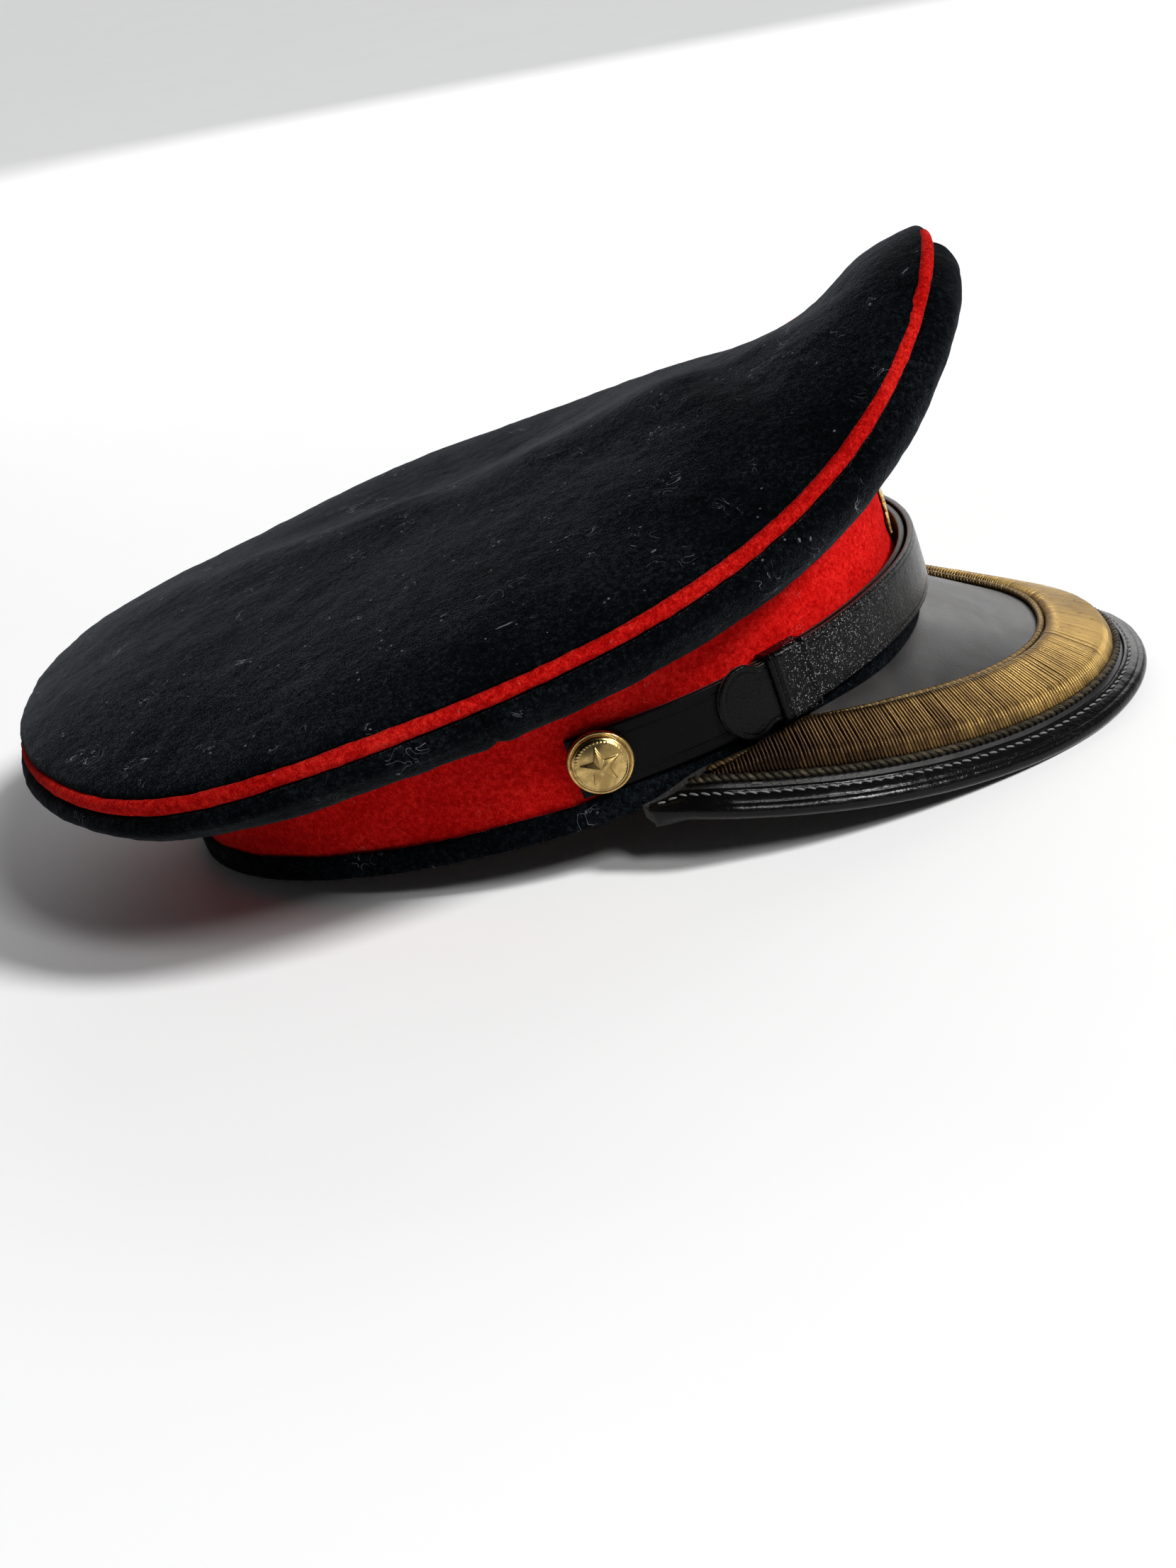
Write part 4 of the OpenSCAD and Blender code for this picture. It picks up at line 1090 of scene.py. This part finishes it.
peak_sheet("peak_top_leather", 0.0, -0.8, PEAK, "peak_top", rough=0.07)
peak_sheet("peak_board_core", -0.85, -1.85, BOARD, "peak_board", 200, 24)
peak_sheet("peak_underside_cloth", -1.9, -2.4, UNDER, "peak_underside", rough=0.10, seed=75)


def binding():
    n = 620
    t = np.linspace(-PK_END, PK_END, n)
    prof = [(5.70, 0.30), (5.78, 0.58), (5.55, 0.84), (5.2, 0.92), (4.95, 0.84), (4.7, 0.64), (4.35, 0.64), (4.1, 0.84), (3.7, 0.92), (3.2, 0.95), (2.75, 0.97), (2.5, 0.89), (2.33, 0.76), (2.15, 0.88), (1.85, 1.0),
            (1.45, 0.97), (1.0, 0.8), (0.58, 0.47), (0.27, 0.02), (0.09, -0.5), (0.03, -1.05), (0.08, -1.65), (0.22, -2.2), (0.46, -2.68), (0.85, -3.06), (1.5, -3.3), (2.4, -3.35), (3.4, -3.3),
            (4.1, -3.2), (4.4, -3.12), (4.7, -3.2), (5.2, -3.28), (5.55, -3.1), (5.55, -2.78), (5.3, -2.72), (1.5, -2.72), (1.08, -1.9), (1.08, -0.6), (1.35, 0.25), (5.4, 0.25)]
    face, back = np.array(prof[:33]), np.array(prof[33:])
    af = np.concatenate([[0], np.cumsum(np.linalg.norm(np.diff(face, axis=0), axis=1))])
    ab = np.concatenate([[0], np.cumsum(np.linalg.norm(np.diff(back, axis=0), axis=1))])
    at = (1 - af[::-1] / af[-1]) * ab[-1]
    back = np.stack([np.interp(at, ab, back[:, 0]), np.interp(at, ab, back[:, 1])], -1)
    prof = np.concatenate([face, back])
    T = np.broadcast_to(t[:, None], (n, len(prof)))
    d = np.broadcast_to(prof[:, 0][None], T.shape)
    w = np.broadcast_to(prof[:, 1][None], T.shape)
    arc = v3(v2(T * 1.7, w), 0 * T)
    k = np.zeros(T.shape)
    k[:, 1:33] = 1
    dw = (0.07 * vnoise(arc, 5, 81) + 0.035 * vnoise(arc, 1.6, 82)) * k
    # the stitches pull the leather down, one after another
    dd = 0.12 * vnoise(v3(v2(T * 1.7, 0 * T), 0 * T), 11, 83) * k
    P = pk_edge(T, d + dd * (d > 3.4), w + dw)
    b = Build()
    b.loft(P, closed=False)
    b.make("peak_binding_leather", [BINDING], stands=["peak_binding"])
    s = Build()
    tt = np.linspace(-PK_END + 0.6, PK_END - 0.6, 2400)
    for side, d0, w0 in ((1, 4.52, 0.72), (-1, 4.42, -3.2)):
        L = pk_edge(tt, d0 + 0 * tt, w0 + 0 * tt)
        a = np.concatenate([[0], np.cumsum(np.linalg.norm(np.diff(L, axis=0), axis=1))])
        k = 0
        x = 0.5
        while x < a[-1] - 3:
            ln = 2.15 + 0.25 * math.sin(k * 2.3)
            e1, e2 = np.interp([x, x + ln], a, tt)
            slant = 0.24
            p = pk_edge(np.array(e1), np.array(d0 + slant), np.array(w0 - 0.02))
            q = pk_edge(np.array(e2), np.array(d0 - slant), np.array(w0 - 0.02))
            nr = unit(np.array([0.5, 0.0107 * p[1], 1.0])) * side
            stitch(s, p, q, nr, 0.27, 0.2)
            x += ln + 0.75
            k += 1
    s.make("peak_binding_stitches", [THREAD])


binding()


def crescent():
    E = 85.5
    tt = np.linspace(-E, E, 4000)
    L = pk_w(tt, 8.6 + 0 * tt, 1.0 + 0 * tt)
    a = np.concatenate([[0], np.cumsum(np.linalg.norm(np.diff(L, axis=0), axis=1))])
    n = int(a[-1] / 1.02)
    mid = (np.arange(n) + 0.5) / n * a[-1]
    tk = np.interp(mid, a, tt)
    te = np.interp(np.clip(mid + a[-1] / n * 0.5, 0, a[-1]), a, tt) - np.interp(np.clip(mid - a[-1] / n * 0.5, 0, a[-1]), a, tt)
    rng = np.random.default_rng(7)
    m = 22
    u = 0.5 - 0.5 * np.cos(np.linspace(0, np.pi, m))

    def height(U, M):
        h = 3.45 * np.minimum(1, M / 6)
        up = (1 - (1 - np.clip(U / 0.15, 0, 1)) ** 2.3) ** 0.62
        dn = (1 - np.clip((U - 0.74) / 0.26, 0, 1) ** 2.3) ** 0.62
        return 0.25 + h * up * dn * (1.0 - 0.12 * np.clip(U, 0, 1))
    b = Build()
    wob = rng.normal(0, 1, (n, 2))
    for i in range(n):
        t = tk[i]
        A, B = 8.15, float(cres(np.array(t))) - 1.15
        M = max(B - A, 0.3)
        d = A - 0.05 + (M + 0.1) * u
        w = height(u, M) + 0.035 * wob[i, 0]
        tj = t + te[i] * 0.10 * wob[i, 1] * np.sin(np.pi * u)
        C = pk_w(tj, d, w)
        S = pk_w(tj + te[i] * 0.5, d, w) - pk_w(tj - te[i] * 0.5, d, w)
        half = np.linalg.norm(S, axis=-1) * 0.47
        S = unit(S)
        T = unit(np.gradient(C, axis=0))
        N = unit(np.cross(T, S))
        if N[m // 2, 2] < 0:
            N = -N
        ang = np.arange(7) * 2 * np.pi / 7 + 0.45
        hn = np.minimum(0.5, half * 1.1)
        P = C[:, None] + half[:, None, None] * np.cos(ang)[None, :, None] * S[:, None] + hn[:, None, None] * np.sin(ang)[None, :, None] * N[:, None]
        st = np.stack(np.broadcast_arrays(i * 3.7 + 0 * d[:, None], d[:, None], 0 * ang[None]), -1)
        b.loft(P, closed=False, caps="fan", st=st, rnd=float(np.clip(0.5 + 0.12 * wob[i, 0], 0, 1)))
    g = np.linspace(-E, E, 260)
    U = np.concatenate([u, u[::-1][1:-1]])
    T, UU = np.meshgrid(g, U, indexing="ij")
    M = np.maximum(cres(T) - 1.15 - 8.15, 0.3)
    W = height(UU, M) - 0.28
    low = np.zeros(T.shape, bool)
    low[:, m:] = True
    W = np.where(low, 0.12, np.maximum(W, 0.14))
    P = pk_w(T, 8.25 + (M - 0.2) * UU, W)
    # the strip under the wires takes the dark padding material: painted shade showing in the gaps between the wires
    b.loft(P, closed=False, mat=1)
    return b.make("gold_wire_crescent", [GOLD, WIRE_GAP_SHADE], stands=["gold_crescent"])


CRESCENT = crescent()


def gimps():
    t = np.linspace(-87.5, 87.5, 1500)
    b = Build()
    twisted(b, pk_w(t, 6.95 + 0 * t, 1.2 + 0 * t), 1.0, 4.2, 2, 8, jitter=0.5, share=0.60, lay=0.48)
    b.make("outer_gimp_cord", [GIMP_D], stands=["gimp_outer"])
    t = np.linspace(-85.5, 85.5, 1500)
    b = Build()
    twisted(b, pk_w(t, cres(t), 1.05 + 0 * t), 0.86, 2.3, 2, 7, jitter=0.4, share=0.60, lay=0.48, seed=3)
    b.make("inner_gimp_cord", [GIMP_G], stands=["gimp_inner"])


gimps()


# ---------------------------------------------------------------- chin strap
def plate(name, tt, half, off, mats, stands, body, seed, groove=1.9, deep=0.2):
    """A leather strap along the band. tt: stations in degrees, half and off: its half
    height and stand-off at each of them."""
    n = len(tt)
    mid = base(tt, 0.0)
    s = np.concatenate([[0], np.cumsum(np.linalg.norm(np.diff(mid, axis=0), axis=1))])
    v = np.sin(np.linspace(-np.pi / 2, np.pi / 2, 47))
    v = 0.72 * v + 0.28 * np.linspace(-1, 1, 47)
    S, Vv = np.meshgrid(s, v, indexing="ij")
    H = half[:, None]
    Z = Vv * H
    cs = np.concatenate([np.stack([s, half], -1), np.stack([s, -half], -1),
                         np.stack([np.full(40, s[0]), np.linspace(-half[0], half[0], 40)], -1),
                         np.stack([np.full(12, s[-1]), np.linspace(-half[-1], half[-1], 12)], -1)])
    pts = np.stack([S.ravel(), Z.ravel()], -1)
    dist = np.empty(len(pts))
    for a in range(0, len(pts), 2000):
        q = pts[a:a + 2000]
        dist[a:a + 2000] = np.sqrt(((q[:, None] - cs[None]) ** 2).sum(-1)).min(1)
    dist = dist.reshape(S.shape)
    dist[:, 0] = dist[:, -1] = 0

    def rnd(d, r):
        e = np.clip(r - d, 0, r)
        return r - np.sqrt(np.maximum(r * r - e * e, 0))
    P3 = v3(v2(S, Z), 0 * S)
    top = STRAP_T - rnd(dist, 0.62) - deep * np.exp(-((dist - groove) / 0.27) ** 2) + 0.10 * sm(dist / 5) + 0.05 * vnoise(P3, 6, seed) + 0.022 * vnoise(P3, 1.9, seed + 1)
    top = np.maximum(top, STRAP_T - 0.75)
    low = rnd(dist, 0.45) * 1.0
    low = np.minimum(low, STRAP_T - 0.8)
    T = np.broadcast_to(tt[:, None], S.shape)
    O = np.broadcast_to(off[:, None], S.shape)
    zz = ZC + Z + 0.16 * vnoise(v3(v2(S, 0 * S), 0 * S), 22, seed + 2)
    A = strap_pt(T, O + top, zz)
    B = strap_pt(T, O + low, zz)
    loop = np.concatenate([A, B[:, ::-1]], 1)
    st = np.concatenate([v3(v2(S, Z), 0 * S), v3(v2(S, Z), 0 * S + 1)[:, ::-1]], 1)
    b = Build()
    b.loft(loop, closed=False, st=st)
    k = len(v)
    m = loop.shape[1]
    # the cut edge and the flesh side keep their own finish
    f = b.F[0]
    mats_i = b.M[0]
    j = f[:, 0] % m
    mats_i[(j >= k - 1) | (j == m - 1)] = 1
    b.M[1][:] = 1
    b.M[2][:] = 1
    return b.make(name, mats, body, stands)


def strap():
    a = np.linspace(-BTN_T - 4, 58.5, 400)
    e = 59 + 5.0 * np.sin(np.linspace(0, np.pi / 2, 40))
    t = np.concatenate([a, e])
    h = np.where(t > 59, 8 * np.sqrt(np.maximum(0.0004, 1 - (np.maximum(0, t - 59) / 5.02) ** 2)), 8.0)
    plate("strap_under_layer", t, h, 0 * t, [PATENT_IN, EDGE], ["strap_inner"], "chinstrap", 91, 2.6, 0.24)
    a = np.linspace(-58.8, BTN_T + 4, 420)
    e = -59.5 - 4.5 * np.sin(np.linspace(np.pi / 2, 0, 48))
    t = np.concatenate([e, a])
    w = 8 + 1.7 * sm((-t - 56.5) / 2.5)
    h = np.where(t < -59.5, w * np.sqrt(np.maximum(0.0004, 1 - (np.maximum(0, -t - 59.5) / 4.52) ** 2)), w)
    plate("strap_outer_layer", t, h, outer_o(t), [PATENT, EDGE], ["strap_outer"], "chinstrap", 95, 1.35, 0.16)


strap()


def keeper(s, name, node, body):
    half = 5.5 / 92 * 180 / math.pi
    c, k = 0.3, 0.9
    t2 = 2 * STRAP_T + 0.25
    w0, w1, z0, z1, rc = -c, t2 + c, ZC - 8 - c, ZC + 8 + c, 0.7
    path, nrm = [], []
    for cx, cz, a0 in ((w1 - rc, z1 - rc, 0), (w0 + rc, z1 - rc, 90), (w0 + rc, z0 + rc, 180), (w1 - rc, z0 + rc, 270)):
        for a in np.linspace(a0, a0 + 90, 9):
            path.append((cx + rc * cd(a), cz + rc * sd(a)))
            nrm.append((cd(a), sd(a)))
        if a0 in (90, 270):
            n2 = 26
            x1 = cx - rc if a0 == 90 else cx + rc
            za, zb = (z1 - rc, z0 + rc) if a0 == 90 else (z0 + rc, z1 - rc)
            for q in np.linspace(0, 1, n2 + 2)[1:-1]:
                path.append((x1, za + (zb - za) * q))
                nrm.append((-1.0 if a0 == 90 else 1.0, 0.0))
    path, nrm = np.array(path, float), np.array(nrm, float)
    x = np.concatenate([np.linspace(0, 3, 22), np.linspace(3, 8, 9)[1:], np.linspace(8, 11, 22)[1:]])
    e = np.minimum(x, 11 - x)
    kk = k + 0.42 * np.exp(-((e - 0.75) / 0.42) ** 2) - 0.30 * np.exp(-((e - 1.75) / 0.28) ** 2) + 0.16 * np.exp(-((e - 2.4) / 0.35) ** 2) - (0.35 - np.sqrt(np.maximum(0.1225 - np.clip(0.35 - e, 0, 0.35) ** 2, 0)))
    face = sm((nrm[:, 0] + 0.15) / 0.6)
    loops = []
    for i in range(len(path)):
        f = face[i]
        K = k * (1 - f) + kk * f - (0.2 * np.clip(1 - e / 0.35, 0, 1)) * (1 - f)
        out = path[i][None] + nrm[i][None] * K[:, None]
        inn = path[i][None] + 0 * K[::-1, None]
        xx = np.concatenate([x, x[::-1]])
        wz = np.concatenate([out, inn])
        t = s * (52 - half + 2 * half * xx / 11)
        loops.append(strap_pt(t, wz[:, 0], wz[:, 1]))
    P = np.array(loops)
    P = P + 0.03 * vnoise(P, 2.4, 101)[..., None]
    b = Build()
    b.loft(P)
    return b.make(name, [PATENT], body, [node])


keeper(-1, "keeper_loop_right", "keeper_right", "keeper_right")
keeper(1, "keeper_loop_left", "keeper_left", "keeper_left")


# ---------------------------------------------------------------- buttons
BTN_Y = float(base(np.array(BTN_T), CLOTH_O - float(gap(np.array(BTN_T))) - STRAP_T)[1]) + 0.75


def button(s, name, node, body):
    r = BTN_R
    nt = 180
    phi = np.arange(nt) * 2 * np.pi / nt

    def put(rho, f, w):
        rho = rho * BTN_R / 9.5
        u, v = rho * np.sin(f), rho * np.cos(f)
        if s < 0:
            return np.stack([BTN_X + u, -(BTN_Y + w), BTN_Z + v], -1)
        return np.stack([BTN_X - u, BTN_Y + w, BTN_Z + v], -1)
    rho = np.concatenate([np.linspace(0.05, 6.2, 70), np.linspace(6.2, 8.2, 22)[1:], np.linspace(8.2, 9.5, 22)[1:]])
    F, Rr = np.meshgrid(phi, rho)
    dome = 1.5 + 3.0 * np.sqrt(np.maximum(0, 1 - (np.minimum(Rr, 8.55) / 8.6) ** 2))
    w = dome.copy()
    # five-pointed star with sharp ridges
    a = np.abs((F + np.pi / 5) % (2 * np.pi / 5) - np.pi / 5)
    ro, ri = 6.0, 2.65
    g = math.pi / 5
    edge = ro * ri * math.sin(g) / (ri * np.sin(g - a) + ro * np.sin(a))
    star = np.clip(1 - Rr / edge, 0, 1)
    w += 0.42 * sm(star / 0.06) + 1.15 * star
    # a fine ring of leaves round the star
    ringr = np.exp(-((Rr - 7.0) / 0.36) ** 2)
    w += 0.17 * ringr * (0.55 + 0.45 * np.cos(44 * F + 4 * (Rr - 7.0)))
    w -= 0.06 * np.exp(-((Rr - 7.6) / 0.16) ** 2)
    rim = np.clip((Rr - 8.35) / 1.15, 0, 1)
    roll = 0.9 + 0.95 * np.sqrt(np.maximum(0, 1 - ((rim - 0.42) / 0.6) ** 2))
    k = sm((Rr - 8.2) / 0.22)
    w = w * (1 - k) + roll * k
    w += 0.012 * np.sin(7 * F) * (Rr < 8)
    P = put(Rr, F, w)
    back = [(9.45, 0.75), (9.2, 0.42), (8.6, 0.32), (8.0, 0.4), (4.0, 1.2), (0.05, 1.9)]
    B = np.stack([put(q + 0 * phi, phi, z + 0 * phi) for q, z in back], 0)
    b = Build()
    b.loft(np.concatenate([P, B], 0), closed=False, caps="fan")
    return b.make(name, [GILT], body, [node])


button(-1, "button_dome_right", "button_shell_right", "button_right")
button(1, "button_dome_left", "button_shell_left", "button_left")


# ---------------------------------------------------------------- badge
def badge():
    bx = 104 - CLOTH_O + 0.08
    cz = 30.0

    def put(u, v, w):
        """u to the wearer's left, v up, w outwards; tilted forward at its top by lean, which is zero."""
        x = bx - 0.1 + w * math.cos(lean) + v * math.sin(lean)
        return np.stack(np.broadcast_arrays(x, u, cz + v * math.cos(lean) - w * math.sin(lean)), -1)
    r = 10.0
    nf = 32
    lean = math.radians(0)
    i = np.arange(nf)
    q = np.where(i % 4 == 0, 1.0, np.where(i % 2 == 0, 0.86, 0.66))
    ang = i * 2 * np.pi / nf
    b = Build()
    # rays: a ridge to each tip and a valley between
    tipw = np.where(i % 2 == 0, 0.55, 0.3)
    topc = put(0.0, 0.0, 1.0)
    rim = put(r * q * np.sin(ang), r * q * np.cos(ang), tipw)
    inn = put(r * 0.42 * np.sin(ang), r * 0.42 * np.cos(ang), np.where(i % 2 == 0, 0.95, 0.62))
    low = put(r * q * np.sin(ang), r * q * np.cos(ang), 0.12 + 0 * tipw)
    bot = put(0.0, 0.0, 0.0)
    V = np.concatenate([[topc], inn, rim, low, [bot]])
    j = np.arange(nf)
    jn = (j + 1) % nf
    F3 = np.stack([j * 0, 1 + j, 1 + jn], -1)
    A = 1 + nf
    Bq = 1 + 2 * nf
    c = len(V) - 1
    F = [F3, np.stack([1 + j, A + j, A + jn, 1 + jn], -1), np.stack([A + j, Bq + j, Bq + jn, A + jn], -1), np.stack([j * 0 + c, Bq + jn, Bq + j], -1)]
    b.add(V, F, smooth=False)
    # boss: domed centre inside two beaded rings
    f = np.arange(72) * 2 * np.pi / 72
    prof = [(3.6, 0.4), (3.75, 0.85), (3.5, 1.12), (3.15, 0.98), (2.95, 0.92), (2.6, 1.06), (2.0, 1.2), (1.2, 1.3), (0.4, 1.34)]
    P = np.stack([put(a * np.sin(f), a * np.cos(f), h + (0.10 * np.cos(24 * f) if 3.4 < a < 3.7 else 0 * f)) for a, h in prof], 0)
    b.loft(P, closed=False, caps="fan")
    for k in range(16):
        g = k * 2 * np.pi / 16 + 0.1
        for rr, rad in ((4.55, 0.36),):
            u, v = rr * math.sin(g), rr * math.cos(g)
            a = np.arange(10) * 2 * np.pi / 10
            S = np.stack([put(u + rad * math.sin(p) * np.sin(a), v + rad * math.sin(p) * np.cos(a), 0.72 + rad * math.cos(p) + 0 * a) for p in np.linspace(0.15, 3.0, 7)], 0)
            b.loft(S, closed=False, caps="fan")
    # lugs through the band
    for s in (-1, 1):
        a = np.arange(20) * 2 * np.pi / 20
        P = np.stack([np.stack([x + 0 * a, s * 5 + 0.95 * np.cos(a), 31 + 0.95 * np.sin(a)], -1) for x in (bx - 4.75, bx - 4.6, bx - 1, bx + 0.4)], 0)
        b.loft(P, closed=False, caps="fan")
    return b.make("cap_badge_star", [GILT_B], "root", ["badge"])


badge()


# ---------------------------------------------------------------- carried-over CAD nodes
def dress(node, mat):
    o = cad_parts[node]
    o.data.materials.clear()
    o.data.materials.append(mat)


for node, mat in (("band_stiffener", BUCKRAM), ("crown_grommet", STEEL), ("front_stay", CLEAR), ("button_back_right", BRASS), ("button_back_left", BRASS),
                  ("button_clip_right", STEEL), ("button_clip_left", STEEL), ("badge_pin", STEEL)):
    dress(node, mat)

# ---------------------------------------------------------------- cloth areas, worked out but not kept
def shell_area(o):
    me = o.data
    me.calc_loop_triangles()
    return sum(t.area for t in me.loop_triangles)


def declare(o):
    a = shell_area(o) / 2


declare(CROWN)
for o, _ in QUARTERS:
    declare(o)
declare(BAND)
declare(LINING)

# ---------------------------------------------------------------- stage
floor_mat = Mat("pale_floor")
fn = floor_mat.noise(9, 3, 0.5)
floor_mat.set(Base_Color=floor_mat.mix(fn, (0.90, 0.90, 0.895), (0.93, 0.93, 0.925)), Roughness=0.85, Specular_IOR_Level=0.2,
              Normal=floor_mat.bump(floor_mat.noise(700, 2, 0.5), 0.04, 0.0004))
fm = bpy.data.meshes.new("floor")
S = 14.0
fm.from_pydata([(-S, -S, -0.0002), (S, -S, -0.0002), (S, S, -0.0002), (-S, S, -0.0002)], [], [(0, 1, 2, 3)])
fm.materials.append(floor_mat.done())
floor = bpy.data.objects.new("floor", fm)
bpy.context.scene.collection.objects.link(floor)

world = bpy.data.worlds.new("studio")
bpy.context.scene.world = world
world.use_nodes = True
wt = world.node_tree
wt.nodes.clear()
wo = wt.nodes.new("ShaderNodeOutputWorld")
bg = wt.nodes.new("ShaderNodeBackground")
tc = wt.nodes.new("ShaderNodeTexCoord")
sx = wt.nodes.new("ShaderNodeSeparateXYZ")
rmp = wt.nodes.new("ShaderNodeValToRGB")
wt.links.new(tc.outputs["Generated"], sx.inputs[0])
wt.links.new(sx.outputs["Z"], rmp.inputs[0])
rmp.color_ramp.elements[0].position = 0.0
rmp.color_ramp.elements[0].color = (0.50, 0.50, 0.51, 1)
rmp.color_ramp.elements[1].position = 0.45
rmp.color_ramp.elements[1].color = (0.10, 0.105, 0.115, 1)
back = wt.nodes.new("ShaderNodeMapRange")
back.interpolation_type = "SMOOTHSTEP"
wt.links.new(sx.outputs["Y"], back.inputs[0])
back.inputs[1].default_value = -0.2
back.inputs[2].default_value = 0.7
back.inputs[3].default_value = 0.35
back.inputs[4].default_value = 1.0
wt.links.new(rmp.outputs[0], bg.inputs["Color"])
wt.links.new(back.outputs[0], bg.inputs["Strength"])
wt.links.new(bg.outputs[0], wo.inputs[0])


def lamp(name, kind, loc, target, energy, size=1.0, size_y=None, color=(1, 1, 1)):
    d = bpy.data.lights.new(name, kind)
    d.energy = energy
    d.color = color
    if kind == "AREA":
        d.shape = "RECTANGLE" if size_y else "SQUARE"
        d.size = size
        if size_y:
            d.size_y = size_y
    else:
        d.angle = size
    o = bpy.data.objects.new(name, d)
    o.location = loc
    o.rotation_mode = "QUATERNION"
    o.rotation_quaternion = (Vector(target) - Vector(loc)).to_track_quat("-Z", "Y")
    bpy.context.scene.collection.objects.link(o)
    return o


lamp("sun_key", "SUN", (1.25, -0.62, 1.3), (0, 0, 0.05), 3.1, math.radians(12))
lamp("window", "AREA", (0.55, -0.95, 1.0), (0.08, -0.05, 0.03), 7.0, 0.28, 0.36)
lamp("back_window", "AREA", (0.35, 1.5, 0.62), (0.05, 0, 0.04), 12.0, 1.9, 0.8, (1.0, 0.99, 0.98))

# ---------------------------------------------------------------- camera
cam_c = np.array([72.01493109053685, -630.5442498630566, 228.96679699501834])
cam_m = [[0.9474036362622344, -0.02148882924580488, -0.31931893181385285],
         [-0.30299150024509397, -0.3815351420805999, -0.8732852261070053],
         [-0.10306551691192622, 0.9241045209148049, -0.36797871358068585]]
right, down, fwd = (turn(v).normalized() for v in cam_m)
cam = bpy.data.cameras.new("photo_view")
cam.sensor_fit = "AUTO"
cam.sensor_width = 36.0
cam.lens = 3426.8393567346275 * 36.0 / 2212.0
cam.clip_start, cam.clip_end = 0.02, 100.0
co = bpy.data.objects.new("photo_view", cam)
mw = Matrix.Identity(4)
for k, col in enumerate((right, -down, -fwd)):
    for j in range(3):
        mw[j][k] = col[j]
loc = row(cam_c)
for j in range(3):
    mw[j][3] = loc[j]
co.matrix_world = mw
bpy.context.scene.collection.objects.link(co)
bpy.context.scene.camera = co
bpy.context.scene.view_settings.view_transform = "Standard"
bpy.context.scene.view_settings.look = "None"
